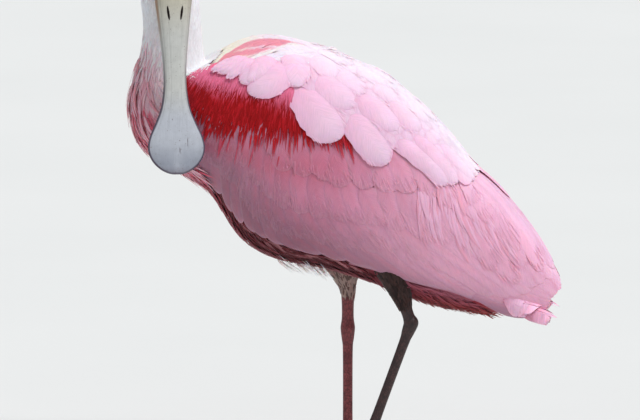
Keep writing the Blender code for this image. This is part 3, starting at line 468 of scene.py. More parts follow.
# body: width against length before its tip is rounded; round: length of the rounded tip in half widths;
# camber, lap, thick and rachis are in millimetres, notch and fray are shares of width and length
Style = namedtuple("Style", "body round rows cols camber lap thick rachis notch fray")
EVEN = ((0, 0.45), (0.3, 0.88), (0.6, 1), (1, 1))
DOWN = Style(((0, 0.5), (0.35, 1), (0.75, 0.8), (1, 0.25)), 0, 4, 3, 0.25, 0, 0.32, 0, 0.05, 0.08)
HAIR = Style(((0, 0.8), (0.4, 1), (0.8, 0.7), (1, 0.12)), 0, 6, 3, 0.1, 0, 0.28, 0, 0.05, 0)
PLUME = Style(((0, 0.5), (0.3, 1), (0.65, 0.85), (0.9, 0.45), (1, 0.08)), 0, 7, 3, 0.3, 0, 0.3, 0, 0.06, 0.05)
CONTOUR = Style(EVEN, 1.6, 9, 5, 0.6, 0.1, 0.3, 0.03, 0.06, 0.03)
COVERT = Style(EVEN, 1.15, 19, 9, 0.5, 0.2, 0.3, 0.05, 0.03, 0.012)
SCAPULA = Style(EVEN, 1.3, 25, 15, 1.9, 0.2, 0.3, 0.04, 0.025, 0.012)
FLIGHT = Style(((0, 0.5), (0.25, 0.95), (0.7, 1), (1, 0.95)), 1.7, 30, 9, 0.5, 0.3, 0.35, 0.1, 0.015, 0.004)


class Coat:
    """Gathers closed feathers, then turns them into one mesh."""

    def __init__(self, name):
        self.name, self.groups = name, []

    def lay(self, surface, a, b, lean, length, half, heights, style, colour, draw, bend=0.0, limit=None):
        """Grows a feather at each (a, b). lean is the angle down from the lie, in radians.

        heights holds three levels over the surface for each feather, at root, middle and tip.
        """
        count = len(a)
        if not count:
            return
        lean, length, half = (np.broadcast_to(x, (count,)).astype(float) for x in (lean, length, half))
        heights = np.broadcast_to(heights, (count, 3)).astype(float)
        side = np.where(np.asarray(b) < 0, -1.0, 1.0) if surface.two_sided else np.ones(count)
        t = np.linspace(0, 1, style.rows)
        if style.round:
            t = 1 - (1 - t) ** 1.5
        path_a, path_b = np.empty((count, style.rows)), np.empty((count, style.rows))
        long_a, long_b = np.empty_like(path_a), np.empty_like(path_a)
        here_a, here_b = np.array(a, float), np.array(b, float)
        leans = lean[:, None] + np.broadcast_to(bend, (count,))[:, None] * t[None, :]
        for k in range(style.rows):
            along, across = surface.slopes(here_a, here_b)
            long_a[:, k] = np.linalg.norm(along, axis=-1)
            long_b[:, k] = np.linalg.norm(across, axis=-1)
            path_a[:, k], path_b[:, k] = here_a, here_b
            if k + 1 < style.rows:
                run = length * (t[k + 1] - t[k])
                here_a = here_a + np.cos(leans[:, k]) * run / long_a[:, k]
                here_b = here_b + side * np.sin(leans[:, k]) * run / long_b[:, k]
        tip_part = np.clip(style.round * half / length, 0.02, 0.6)[:, None]
        rounding = np.clip((t - 1 + tip_part) / tip_part, 0, 1) if style.round else 0 * t[None, :]
        share = np.interp(t, *zip(*style.body)) * np.sqrt(np.maximum(1 - rounding ** 2, 0.01))
        u = np.linspace(-1, 1, style.cols)
        rag = 1 + style.notch * draw.normal(size=(count, style.rows, style.cols)) * np.abs(u) ** 3
        reach = u * (half[:, None] * share)[..., None] * rag
        tip = smooth_step(0.62, 1, t)[None, :, None]
        shift = tip * style.fray * length[:, None, None] * draw.uniform(-1, 0.6, (count, 1, style.cols))
        cos, sin = np.cos(leans)[..., None], np.sin(leans)[..., None]
        grid_a = path_a[..., None] + (cos * shift - sin * reach) / long_a[..., None]
        grid_b = path_b[..., None] + side[:, None, None] * (sin * shift + cos * reach) / long_b[..., None]
        if limit:
            grid_b = limit(grid_a, grid_b)
        early, late = smooth_step(0, 0.45, t), np.clip((t - 0.45) / 0.55, 0, 1)
        level = heights[:, :1] + (heights[:, 1:2] - heights[:, :1]) * early
        level = level + (heights[:, 2:] - heights[:, 1:2]) * late
        bow = share[..., None] * MM
        level = (level[..., None] + style.lap * u * bow + style.camber * (1 - u ** 2) * bow
                 + style.rachis * np.exp(-(u / 0.16) ** 2) * bow)
        thick = style.thick * MM * (1 - 0.6 * tip) * np.ones_like(level)
        base, normal = surface.base(grid_a, grid_b), surface.normal(grid_a, grid_b)
        top = base + normal * (level + thick / 2)[..., None]
        under = base + normal * (level - thick / 2)[..., None]
        order = slice(style.cols - 2, 0, -1)
        mirrored = side < 0
        r = draw.uniform(0, 1, count)
        tint = colour(np.asarray(a)[:, None, None], np.asarray(b)[:, None, None], grid_a, grid_b,
                      t[None, :, None] + 0 * level, u + 0 * level, r[:, None, None])
        across_mm, along_mm = reach / MM, (t * length[:, None])[..., None] / MM + 0 * level
        lines = np.stack([along_mm - 1.3 * np.abs(across_mm), across_mm, r[:, None, None] * 97 + 0 * level], -1)
        if style.cols <= 3:
            lines = np.stack([across_mm, along_mm * 0.15, r[:, None, None] * 97 + 0 * level], -1)
        patch = surface.unwrap(np.asarray(a, float), np.asarray(b, float))[:, None, None, :]
        bake = patch + PATCH * np.stack([u / 2 + 0 * level, t[None, :, None] - 0.5 + 0 * level], -1)
        group = []
        for first, second in ((top, under), (tint, tint * 0.97), (lines, lines), (bake, bake)):
            ring = np.concatenate([first, second[:, :, order]], 2)
            ring[mirrored] = ring[mirrored][:, :, ::-1]
            group.append(ring)
        self.groups.append(group)

    def make(self, material, slot, *nodes):
        points, tints, lines, bakes, loops, starts, base, loop_base = [], [], [], [], [], [], 0, 0
        for ring, tint, line, bake in self.groups:
            count, rows, around = ring.shape[:3]
            one_loops, one_starts = loft_faces(rows, around)
            step = np.arange(count)
            loops.append((one_loops[None, :] + base + step[:, None] * rows * around).ravel())
            starts.append((one_starts[None, :] + loop_base + step[:, None] * len(one_loops)).ravel())
            points.append(ring.reshape(-1, 3))
            tints.append(tint.reshape(-1, 3))
            lines.append(line.reshape(-1, 3))
            bakes.append(bake.reshape(-1, 2))
            base += count * rows * around
            loop_base += count * len(one_loops)
        loops = np.concatenate(loops)
        obj = mesh_object(self.name, np.concatenate(points), loops, np.concatenate(starts))
        fix_normals(obj)
        obj.data.shade_smooth()
        obj.data.set_sharp_from_angle(angle=math.radians(70))
        index = np.empty(len(obj.data.loops), np.int32)
        obj.data.loops.foreach_get("vertex_index", index)
        layer = obj.data.uv_layers.new(name="OFBake")
        layer.uv.foreach_set("vector", np.concatenate(bakes)[index].astype(np.float32).ravel())
        point_colour(obj, "tint", np.clip(np.concatenate(tints), 0, 1))
        point_colour(obj, "lines", np.concatenate(lines))
        return finish_piece(obj, material, slot, *nodes)


def finish_piece(obj, material, slot, *nodes):
    obj.data.materials.clear()
    obj.data.materials.append(material)
    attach(obj, "root")
    if nodes:
        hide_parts(*nodes)
    print(obj.name, sum(len(p.vertices) - 2 for p in obj.data.polygons), "triangles")
    return obj


def scatter(surface, a_range, b_range, step, spacing, draw, jitter=0.35):
    """Staggered rows of places over part of a surface, spaced in metres."""
    places = []
    a, low, high = a_range[0], b_range[0], b_range[1]
    while a < a_range[1]:
        middle = np.linspace(low, high, 16)
        along, across = surface.slopes(np.full(16, a), middle)
        reach = np.linalg.norm(across, axis=-1).mean() * (high - low)
        count = max(int(reach / spacing), 1)
        b = low + (high - low) * (np.arange(count) + draw.uniform(0, 1)) / count
        gap = (high - low) / count
        stride = step / np.linalg.norm(along, axis=-1).mean()
        b = b + jitter * gap * draw.uniform(-1, 1, count)
        places.append(np.stack([a + jitter * stride * draw.uniform(-1, 1, count), b], -1))
        a += stride
    return np.concatenate(places).T


# Materials

class Nodes:
    """Short words for building a node tree."""

    def __init__(self, name):
        self.material = bpy.data.materials.new(name)
        self.material.use_nodes = True
        self.tree = self.material.node_tree
        self.shader = self.tree.nodes["Principled BSDF"]

    def add(self, kind, links=(), **settings):
        node = self.tree.nodes.new("ShaderNode" + kind)
        for key, value in settings.items():
            if hasattr(node, key):
                setattr(node, key, value)
            else:
                node.inputs[key.replace("_", " ")].default_value = value
        for socket, source in links:
            self.tree.links.new(source, node.inputs[socket])
        return node

    def attribute(self, name):
        return self.add("Attribute", attribute_name=name)

    def noise(self, vector, scale, detail=3.0, roughness=0.55):
        return self.add("TexNoise", [("Vector", vector)], Scale=scale, Detail=detail, Roughness=roughness)

    def between(self, value, low, high):
        """Maps the usual range of a noise onto low to high."""
        node = self.add("MapRange", [("Value", value)], From_Min=0.3, From_Max=0.7)
        node.inputs["To Min"].default_value, node.inputs["To Max"].default_value = low, high
        return node.outputs["Result"]

    def scaled(self, colour, value):
        """Darkens or lightens a colour by a value near 1."""
        node = self.add("VectorMath", [(0, colour), (3, value)], operation="SCALE")
        return node.outputs["Vector"]

    def blend(self, one, two, share):
        node = self.add("Mix", data_type="RGBA")
        for index, source in ((0, share), (6, one), (7, two)):
            if isinstance(source, (tuple, list)):
                node.inputs[index].default_value = source
            else:
                self.tree.links.new(source, node.inputs[index])
        return node.outputs[2]

    def stretched(self, vector, scale):
        node = self.add("Mapping", [("Vector", vector)])
        node.inputs["Scale"].default_value = scale
        return node.outputs["Vector"]

    def place(self):
        return self.add("TexCoord").outputs["Object"]

    def finish(self, colour, roughness, height, strength, distance, **settings):
        bump = self.add("Bump", [("Height", height)], Strength=strength, Distance=distance)
        for socket, source in (("Base Color", colour), ("Roughness", roughness), ("Normal", bump.outputs["Normal"])):
            self.tree.links.new(source, self.shader.inputs[socket])
        for key, value in settings.items():
            self.shader.inputs[key.replace("_", " ")].default_value = value
        return self.material


def plumage_material(name, across, along, depth, sheen):
    """Feather: barbs drawn by noise stretched along them, patchy tone and a soft sheen."""
    n = Nodes(name)
    tint = n.attribute("tint").outputs["Color"]
    lines = n.attribute("lines").outputs["Vector"]
    barbs = n.noise(n.stretched(lines, (across, along, 1)), 1.0, 4.0).outputs["Fac"]
    strands = n.noise(n.stretched(lines, (across * 0.35, along * 0.3, 1.7)), 1.0, 2.0).outputs["Fac"]
    patches = n.noise(n.place(), 55.0, 3.0).outputs["Fac"]
    colour = n.scaled(tint, n.between(barbs, 1 - depth, 1 + depth * 0.55))
    colour = n.scaled(colour, n.between(strands, 1 - depth * 0.5, 1 + depth * 0.3))
    colour = n.scaled(colour, n.between(patches, 0.955, 1.035))
    return n.finish(colour, n.between(barbs, 0.62, 0.82), barbs, 0.35, 0.0004,
                    Sheen_Weight=sheen, Sheen_Roughness=0.45, Specular_IOR_Level=0.18,
                    Subsurface_Weight=0.25, Subsurface_Scale=0.003)


def skin_material():
    n = Nodes("bare_skin")
    tint = n.attribute("tint").outputs["Color"]
    place = n.place()
    pores = n.noise(place, 900.0, 5.0, 0.65).outputs["Fac"]
    blotch = n.noise(place, 120.0, 4.0).outputs["Fac"]
    cells = n.add("TexVoronoi", [("Vector", place)], Scale=620.0)
    colour = n.scaled(tint, n.between(blotch, 0.82, 1.1))
    colour = n.scaled(colour, n.between(pores, 0.88, 1.08))
    height = n.add("Math", [(0, cells.outputs["Distance"]), (1, pores)], operation="ADD").outputs[0]
    return n.finish(colour, n.between(pores, 0.42, 0.62), height, 0.5, 0.0004, Specular_IOR_Level=0.4)


def bill_material():
    n = Nodes("bill_horn")
    tint = n.attribute("tint").outputs["Color"]
    lines = n.attribute("lines").outputs["Vector"]
    place = n.place()
    grain = n.noise(n.stretched(lines, (1.6, 0.05, 1)), 1.0, 4.0).outputs["Fac"]
    mottle = n.noise(place, 190.0, 5.0, 0.62).outputs["Fac"]
    speck = n.noise(place, 760.0, 2.0).outputs["Fac"]
    colour = n.scaled(tint, n.between(grain, 0.93, 1.04))
    colour = n.scaled(colour, n.between(mottle, 0.90, 1.04))
    spots = n.add("MapRange", [("Value", speck)], From_Min=0.66, From_Max=0.74)
    colour = n.blend(colour, (0.16, 0.12, 0.11, 1), spots.outputs["Result"])
    height = n.add("Math", [(0, grain), (1, mottle)], operation="ADD").outputs[0]
    return n.finish(colour, n.between(mottle, 0.34, 0.5), height, 0.3, 0.0003, Specular_IOR_Level=0.45)


def leg_material(name, colour, dark):
    """Scaled leg skin: small many-sided scales with dark joints between them."""
    n = Nodes(name)
    lines = n.attribute("lines").outputs["Vector"]
    place = n.place()
    warp = n.noise(place, 160.0, 3.0)
    scales = n.add("TexVoronoi", [("Vector", n.stretched(place, (1, 1, 0.7)))], Scale=430.0,
                   feature="DISTANCE_TO_EDGE")
    joint = n.add("MapRange", [("Value", scales.outputs["Distance"])], From_Min=0.0, From_Max=0.12)
    tone = n.between(warp.outputs["Fac"], 0.0, 1.0)
    mixed = n.blend((*colour, 1), (*dark, 1), tone)
    mixed = n.scaled(mixed, n.between(n.noise(lines, 3.0).outputs["Fac"], 0.85, 1.1))
    mixed = n.blend((*(np.array(dark) * 0.6), 1), mixed, joint.outputs["Result"])
    return n.finish(mixed, n.between(warp.outputs["Fac"], 0.32, 0.52), joint.outputs["Result"], 0.45, 0.0004,
                    Specular_IOR_Level=0.45)


def claw_material():
    n = Nodes("claw")
    place = n.place()
    grain = n.noise(n.stretched(place, (1, 1, 0.3)), 900.0, 4.0).outputs["Fac"]
    colour = n.scaled(n.blend((0.05, 0.035, 0.03, 1), (0.12, 0.09, 0.075, 1), grain), n.between(grain, 0.8, 1.2))
    return n.finish(colour, n.between(grain, 0.28, 0.45), grain, 0.2, 0.0002)


def eye_material():
    """A red iris with fine spokes round a black pupil, under a wet surface."""
    n = Nodes("eye")
    tint = n.attribute("tint").outputs["Color"]
    lines = n.attribute("lines").outputs["Vector"]
    spokes = n.noise(n.stretched(lines, (14, 0.6, 1)), 1.0, 3.0).outputs["Fac"]
    colour = n.scaled(tint, n.between(spokes, 0.6, 1.25))
    return n.finish(colour, n.between(spokes, 0.04, 0.1), spokes, 0.02, 0.0001,
                    Coat_Weight=1.0, Coat_Roughness=0.02, Specular_IOR_Level=0.6)


def floor_material():
    n = Nodes("floor")
    place = n.place()
    cloud = n.noise(place, 1.6, 3.0).outputs["Fac"]
    grain = n.noise(place, 90.0, 3.0).outputs["Fac"]
    colour = n.blend((0.70, 0.71, 0.70, 1), (0.76, 0.765, 0.755, 1), cloud)
    return n.finish(colour, n.between(grain, 0.75, 0.9), grain, 0.05, 0.001)


# Head and bill

def bill_axes():
    down = unit(np.array((BILL_DRIFT, -math.sin(BILL_TILT), -math.cos(BILL_TILT))))
    top = np.array((0, -math.cos(BILL_TILT), math.sin(BILL_TILT)))
    side = unit(np.cross(top, down))
    top = unit(np.cross(down, side))
    return (down, top * math.cos(BILL_ROLL) + side * math.sin(BILL_ROLL),
            side * math.cos(BILL_ROLL) - top * math.sin(BILL_ROLL))


def head_axes():
    down, top, side = bill_axes()
    back = -down * math.cos(HEAD_BEND) - top * math.sin(HEAD_BEND)
    crown = top * math.cos(HEAD_BEND) - down * math.sin(HEAD_BEND)
    return back, crown, side


def eye_centre(sign):
    back, crown, side = head_axes()
    return BILL_BASE + back * EYE_BACK + crown * EYE_UP + side * (sign * EYE_SIDE)


def head_rings(grow=0.0, count=40, rows=29):
    back, crown, side = head_axes()
    down, top, _ = bill_axes()
    rings = []
    for row in spline(HEAD, np.linspace(0, len(HEAD) - 1, rows)):
        distance, half, up, low = row
        turned = smooth_step(0, 12 * MM, distance)
        lift = unit(crown * turned + top * (1 - turned))
        middle = BILL_BASE - down * (0.3 * MM * (1 - turned)) + back * distance
        turn = np.linspace(0, 2 * math.pi, count, endpoint=False)
        height = np.where(np.sin(turn) > 0, up, low) + grow
        rings.append(middle + np.outer((half + grow) * power_of(np.cos(turn), 0.9), side)
                     + np.outer(height * power_of(np.sin(turn), 0.9), lift))
    return np.array(rings)


def bill_half(name, upper, material, node):
    """One half of the bill as a fine closed loft, with its rim, grooves, nail and nostrils."""
    down, top, side = bill_axes()
    near = np.arange(0, 20, 1.0)
    fine = np.arange(20, 42, 0.4)
    rest = np.append(np.arange(42, 168, 1.1), np.linspace(168, 176, 16))
    distance = np.concatenate([near, fine, rest]) * MM if upper else np.append(np.arange(0, 168, 1.5), np.linspace(168, 176, 12)) * MM
    row_at = np.interp(distance, BILL[:, 0], np.arange(len(BILL)))
    for _ in range(4):
        found = spline(BILL, row_at)[:, 0]
        slope = (spline(BILL, row_at + 0.01)[:, 0] - found) / 0.01
        row_at = np.clip(row_at + (distance - found) / np.maximum(slope, 1e-4), 0, len(BILL) - 1)
    table = spline(BILL, row_at)
    half, height, depth = table[:, 1], table[:, 2], table[:, 3]
    cols = 150 if upper else 70
    u = np.sin(np.linspace(-math.pi / 2, math.pi / 2, cols))
    dome = np.maximum(1 - np.abs(u) ** 2.2, 0) ** 0.42
    d, uu = distance[:, None], u[None, :]
    width = half if upper else np.maximum(half - LOWER_INSET, 1.5 * MM)
    x = uu * width[:, None]
    spoon = smooth_step(112 * MM, 145 * MM, d)
    tint, level = (bill_upper_detail if upper else bill_lower_detail)(d, uu, x, width[:, None], spoon)
    rise = (height if upper else -depth)[:, None] * dome[None, :] + level
    reach = distance if upper else distance * (1 - 1.2 * MM / (176 * MM))
    middle = BILL_BASE + np.outer(reach, down) + top * (MOUTH_GAP / 2 if upper else -MOUTH_GAP / 2)
    shell = middle[:, None] + x[..., None] * side + rise[..., None] * top
    inside = u[1:-1][::6][::-1]
    floor = middle[:, None] + (inside[None, :] * width[:, None])[..., None] * side
    rings = np.concatenate([shell, floor], 1)
    obj = loft(name, rings)
    inner_tint = np.broadcast_to(srgb(120, 88, 84), floor.shape)
    point_colour(obj, "tint", np.clip(np.concatenate([tint, inner_tint], 1).reshape(-1, 3), 0, 1))
    lines = np.stack([np.concatenate([x, inside[None, :] * width[:, None]], 1) / MM,
                      np.broadcast_to(d / MM, rings.shape[:2]), np.zeros(rings.shape[:2])], -1)
    point_colour(obj, "lines", lines.reshape(-1, 3))
    obj.data.shade_smooth()
    obj.data.set_sharp_from_angle(angle=math.radians(55))
    return finish_piece(obj, material, "bill", node)


def bill_upper_detail(d, u, x, width, spoon):
    """Colour and relief of the upper bill at each distance and share of its width."""
    edge = np.abs(u)
    tint = mix(srgb(186, 180, 160), srgb(190, 191, 187), smooth_step(6 * MM, 62 * MM, d) + 0 * edge)
    tint = mix(tint, srgb(178, 182, 191), smooth_step(96 * MM, 132 * MM, d) + 0 * edge)
    # Darker towards the tip, most at the spoon's sides: painted shade where the spoon curves down.
    tint = mix(tint, srgb(136, 141, 154), 0.85 * smooth_step(142 * MM, 168 * MM, d) * smooth_step(-0.6, 0.5, edge))
    tint = mix(tint, srgb(118, 92, 74), 0.5 * (1 - smooth_step(0, 40 * MM, d)) * smooth_step(0.6, 0.97, edge))
    level = np.zeros(np.broadcast(d, edge).shape)
    for at, wide, deep, dark in ((0.8, 0.035, 0.3, 0.35), (0.9, 0.025, 0.22, 0.3), (0.42, 0.05, 0.22, 0.12)):
        lane = np.exp(-((edge - at) / wide) ** 2) * (1 - 0.75 * spoon) * smooth_step(3 * MM, 14 * MM, d)
        level -= deep * MM * lane
        # The grooves are darkened in colour too: painted shade in their recesses.
        tint = mix(tint, tint * 0.62, dark * lane)
    slope = np.gradient(width[:, 0], d[:, 0])[:, None]
    inward = np.minimum((width - np.abs(x)) / np.sqrt(1 + slope ** 2), 176 * MM - d)
    rim = (1 - smooth_step(0.9 * MM, 2.1 * MM, inward)) * (0.3 + 0.7 * smooth_step(60 * MM, 120 * MM, d))
    tint = mix(tint, srgb(168, 116, 66), 0.75 * (1 - smooth_step(30 * MM, 66 * MM, d)) * smooth_step(-0.86, -0.97, u))
    level += 0.22 * MM * rim * spoon
    tint = mix(tint, srgb(62, 46, 68), 0.93 * rim)
    nail = smooth_step(167 * MM, 173.5 * MM, d) * (1 - smooth_step(9 * MM, 15 * MM, np.abs(x)))
    level += 0.35 * MM * nail * (1 - rim)
    tint = mix(tint, srgb(120, 116, 128), 0.45 * nail)
    ripple = np.sin(d / MM * 2.1 + 1.6 * np.cos(u * 3)) * (1 - smooth_step(2 * MM, 20 * MM, d)) * (1 - edge ** 4)
    level += 0.12 * MM * ripple
    for sign in (LEFT, RIGHT):
        along, out = d - NOSTRIL_AT, x - sign * NOSTRIL_SIDE
        p = along * math.cos(NOSTRIL_SLANT) - sign * out * math.sin(NOSTRIL_SLANT)
        q = out * math.cos(NOSTRIL_SLANT) + sign * along * math.sin(NOSTRIL_SLANT)
        hole = 1 - (p / NOSTRIL_HALF_LENGTH) ** 2 - (q / NOSTRIL_HALF) ** 2
        lip = np.exp(-((1 - hole - 1.9) / 0.9) ** 2)
        level += 0.16 * MM * lip - NOSTRIL_DEPTH * smooth_step(-0.05, 0.55, hole)
        # Near black in the nostril openings: painted shade inside the holes.
        tint = mix(tint, srgb(40, 20, 22), smooth_step(-0.25, 0.15, hole))
    for at, off, length, wide in ((148, 9.5, 4.2, 0.45), (157, 3.5, 0.5, 2.6), (155, 2.6, 3.2, 0.4), (128, -3.6, 0.9, 0.5)):
        scuff = 1 - ((d / MM - at) / length) ** 2 - ((x / MM - off) / wide) ** 2
        tint = mix(tint, srgb(96, 88, 92), 0.8 * smooth_step(-0.2, 0.5, scuff))
        level -= 0.15 * MM * smooth_step(-0.2, 0.5, scuff)
    return tint, level


def bill_lower_detail(d, u, x, width, spoon):
    edge = np.abs(u)
    tint = mix(srgb(205, 178, 124), srgb(178, 178, 168), smooth_step(4 * MM, 50 * MM, d) + 0 * edge)
    pouch = np.exp(-(edge / 0.4) ** 2) * (1 - smooth_step(20 * MM, 75 * MM, d))
    tint = mix(tint, srgb(214, 160, 92), 0.7 * pouch)
    rim = smooth_step(0.93, 0.985, edge)
    tint = mix(tint, srgb(70, 54, 62), 0.8 * rim)
    level = 0.3 * MM * np.exp(-((edge - 0.78) / 0.04) ** 2) * (1 - spoon) - 0.8 * MM * pouch
    return tint, level


def eyes(material):
    """Eyeballs with a red iris and a black pupil that looks out square to the head."""
    _, _, side = head_axes()
    for sign, node in ((LEFT, "eye_left"), (RIGHT, "eye_right")):
        axis = side * sign
        first = unit(np.cross(axis, np.array((0, 0, 1.0))))
        second = np.cross(axis, first)
        polar = np.linspace(0.02, math.pi - 0.02, 60)
        turn = np.linspace(0, 2 * math.pi, 64, endpoint=False)
        cornea = 0.35 * MM * np.exp(-(polar / 0.5) ** 2)
        radius = (EYE_RADIUS - 0.1 * MM + cornea)[:, None, None]
        ring = (np.cos(polar)[:, None, None] * axis
                + np.sin(polar)[:, None, None] * (np.cos(turn)[None, :, None] * first + np.sin(turn)[None, :, None] * second))
        obj = loft(node + "_ball", eye_centre(sign) + radius * ring)
        share = polar[:, None] / 0.72 + 0 * turn[None, :]
        tint = mix(srgb(214, 30, 22), srgb(128, 8, 10), smooth_step(0.5, 0.95, share))
        tint = mix(srgb(6, 4, 5), tint, smooth_step(0.40, 0.45, share))
        tint = mix(tint, srgb(30, 14, 14), smooth_step(0.93, 1.02, share))
        point_colour(obj, "tint", tint.reshape(-1, 3))
        lines = np.stack([np.cos(turn)[None, :] + 0 * share, np.sin(turn)[None, :] + 0 * share, share], -1)
        point_colour(obj, "lines", lines.reshape(-1, 3))
        obj.data.shade_smooth()
        finish_piece(obj, material, "eye", node)


def eyelids():
    """A folded rim of bare skin round each eye, its inner edge on the eyeball."""
    back, crown, side = head_axes()
    rims = []
    for sign in (LEFT, RIGHT):
        axis = side * sign
        turn = np.linspace(0, 2 * math.pi, 96, endpoint=False)
        oval = 1 - 0.16 * np.sin(turn) ** 2 + 0.05 * np.cos(turn)
        rings = []
        profile = ((3.05, 0.12), (3.2, 0.5), (3.55, 0.78), (4.0, 0.62), (4.35, 0.42), (4.75, 0.62),
                   (5.2, 0.5), (5.6, 0.28), (6.1, 0.36), (6.7, 0.1), (7.5, -0.5), (7.6, -1.6), (3.4, -1.5), (3.05, -0.3))
        for radius, lift in profile:
            r = radius * oval * MM
            on_ball = np.sqrt(np.maximum((EYE_RADIUS ** 2 - np.minimum(r, 0.8 * EYE_RADIUS) ** 2), 0))
            slope = smooth_step(3.4, 7.5, radius)
            out = on_ball * (1 - slope) + slope * (3.55 * MM) + lift * MM
            ripple = 0.07 * MM * np.sin(turn * 17 + radius * 2) * smooth_step(3.6, 5, radius) * (1 - slope)
            rings.append(eye_centre(sign) + np.outer(out + ripple, axis)
                         + np.outer(r * np.cos(turn), back) + np.outer(r * np.sin(turn), crown))
        rings.append(rings[0])
        rims.append(loft("lid", rings))
    return rims


# Skin

def seat_depth(s, phi):
    """How deep the trunk lies under the outline, to leave room for the folded wing."""
    front = smooth_step(BREAST_CUT, WING_FRONT + 0.15, s)
    rear = 1 - smooth_step(10.5, 13, s)
    upper = smooth_step(math.radians(2), math.radians(14), phi)
    lower = 1 - smooth_step(math.radians(152), math.radians(164), phi)
    seat = (ARM_DEEP + ARM_THICK + SEAT_SPARE) * front * rear * upper * lower
    saddle = SADDLE * smooth_step(BREAST_CUT, 7.4, s) * rear * (1 - upper)
    return seat + saddle * (phi < math.radians(90))


def ring_angles(count):
    return np.linspace(-math.pi, math.pi, count, endpoint=False)


def skin(material, nodes):
    """One smooth skin over neck, head, trunk, thighs and the root of the tail, inside the coat."""
    draw = np.random.default_rng(SEED)
    angles = ring_angles(72)
    stations = np.linspace(-0.4, TRUNK_END, 90)
    grid_s, grid_b = np.meshgrid(stations, angles, indexing="ij")
    depth = COAT_DEPTH + seat_depth(grid_s, np.abs(grid_b))
    fold = smooth_step(3.2, 4.2, grid_s) * (1 - smooth_step(5.0, 5.8, grid_s))
    depth = depth + 1.2 * MM * fold * (1 - smooth_step(70, 95, np.degrees(np.abs(grid_b))))
    pieces = [loft("trunk", BODY.point(grid_s, grid_b, -depth))]
    pieces.append(tube_loft(NECK_TUBE, 0, 5.2, 40, 48, 1.8 * MM))
    pieces.append(tube_loft(TAIL_TUBE, 0.0, TAIL_CORE, 16, 48, 2.4 * MM))
    pieces.append(tube_loft(RIGHT_THIGH_TUBE, 0, 5, 24, 40, 1.2 * MM))
    pieces.append(tube_loft(LEFT_THIGH_TUBE, 0, 4, 24, 40, 1.2 * MM))
    pieces.append(loft("skull", head_rings(-0.3 * MM)))
    obj = fused("skin", pieces, SKIN_VOXEL, 5)
    points = coordinates(obj)
    back, crown, side = head_axes()
    local = points - BILL_BASE
    p, q, r = local @ back, local @ crown, local @ side
    on_head = smooth_step(-4 * MM, 1 * MM, p) * (1 - smooth_step(50 * MM, 58 * MM, p)) * (np.abs(r) < 24 * MM) * (np.abs(q) < 26 * MM)
    normals = np.empty(len(points) * 3, np.float32)
    obj.data.vertices.foreach_get("normal", normals)
    normals = normals.reshape(-1, 3)
    wrinkle = 0.16 * waves(points, 5 * MM, draw) + 0.1 * waves(points, 2.6 * MM, draw)
    points = points + normals * (wrinkle * MM * on_head)[:, None]
    for sign in (LEFT, RIGHT):
        away = points - eye_centre(sign)
        far = np.linalg.norm(away, axis=-1)
        shallow = far < EYE_RADIUS + 0.5 * MM
        points[shallow] = eye_centre(sign) + unit(away[shallow]) * (EYE_RADIUS + 0.5 * MM)
    set_coordinates(obj, points)
    obj = joined("skin", [obj] + eyelids())
    obj.data.shade_smooth()
    points = coordinates(obj)
    point_colour(obj, "tint", skin_tint(points))
    return finish_piece(obj, material, "bare_skin", *nodes)


def skin_tint(points):
    """Pink under the plumage; on the head greenish buff, a black band round the nape, orange at the gape."""
    back, crown, side = head_axes()
    local = points - BILL_BASE
    p, q, r = local @ back / MM, local @ crown / MM, np.abs(local @ side) / MM
    near = (p > -3) & (p < 64) & (r < 23) & (np.abs(q) < 26)
    throat = smooth_step(330, 350, points[:, 2] / MM) * (1 - smooth_step(-112, -98, points[:, 0] / MM))
    tint = mix(srgb(214, 142, 150), srgb(240, 214, 218), throat)
    head = mix(srgb(186, 184, 132), srgb(172, 178, 142), smooth_step(0, 30, p))
    head = mix(head, srgb(206, 176, 96), smooth_step(6, -8, q) * 0.8)
    head = mix(head, srgb(222, 132, 62), np.exp(-((p - 4) / 9) ** 2 - ((q + 5) / 6) ** 2) * 0.85)
    head = mix(head, srgb(214, 120, 70), 0.6 * np.exp(-((p - 15) / 6.5) ** 2 - ((q - 5) / 6) ** 2) * (r > 9))
    band = np.exp(-((p - 44 + 0.30 * q) / 6.5) ** 2) * smooth_step(-14, -8, q)
    ear = np.exp(-((p - 33) / 5) ** 2 - ((q + 3) / 5) ** 2) * (r > 10)
    head = mix(head, srgb(24, 22, 22), np.clip(1.25 * band + 1.1 * ear, 0, 0.96))
    tint[near] = head[near]
    return np.clip(tint, 0, 1)


def tube_loft(surface, first, last, rows, count, depth):
    a, b = np.meshgrid(np.linspace(first, last, rows), ring_angles(count), indexing="ij")
    return loft("tube", surface.point(a, b, -depth + 0 * a))


# Legs

def swept(stations, lead, rows, count=28):
    """A fine closed sweep through stations of (centre, half size along lead, other half)."""
    table = np.array([[*centre, half_a, half_b] for centre, half_a, half_b in stations])
    tube = Tube(table, lead)
    a, b = np.meshgrid(np.linspace(0, len(table) - 1, rows), ring_angles(count), indexing="ij")
    return loft("sweep", tube.base(a, b))


def toe_path(joint, run, length, turn):
    turn = math.radians(turn)
    heading = np.array((-math.cos(turn), math.sin(turn), 0))
    stations, reach, last, before = [], 0.0, None, 0.0
    for share, half in TOE_SHAPE:
        distance = share * length
        height = max(float(np.interp(distance, *zip(*run))), half * 0.9 - SOLE_SINK)
        if last is not None:
            step = distance - before
            reach += math.sqrt(max(step * step - (last - height) ** 2, (0.3 * step) ** 2))
        last, before = height, distance
        centre = np.array((joint[0], joint[1], 0)) + heading * (reach * MM) + np.array((0, 0, height * MM))
        stations.append((centre, half * MM, half * 0.9 * MM))
    return stations, heading


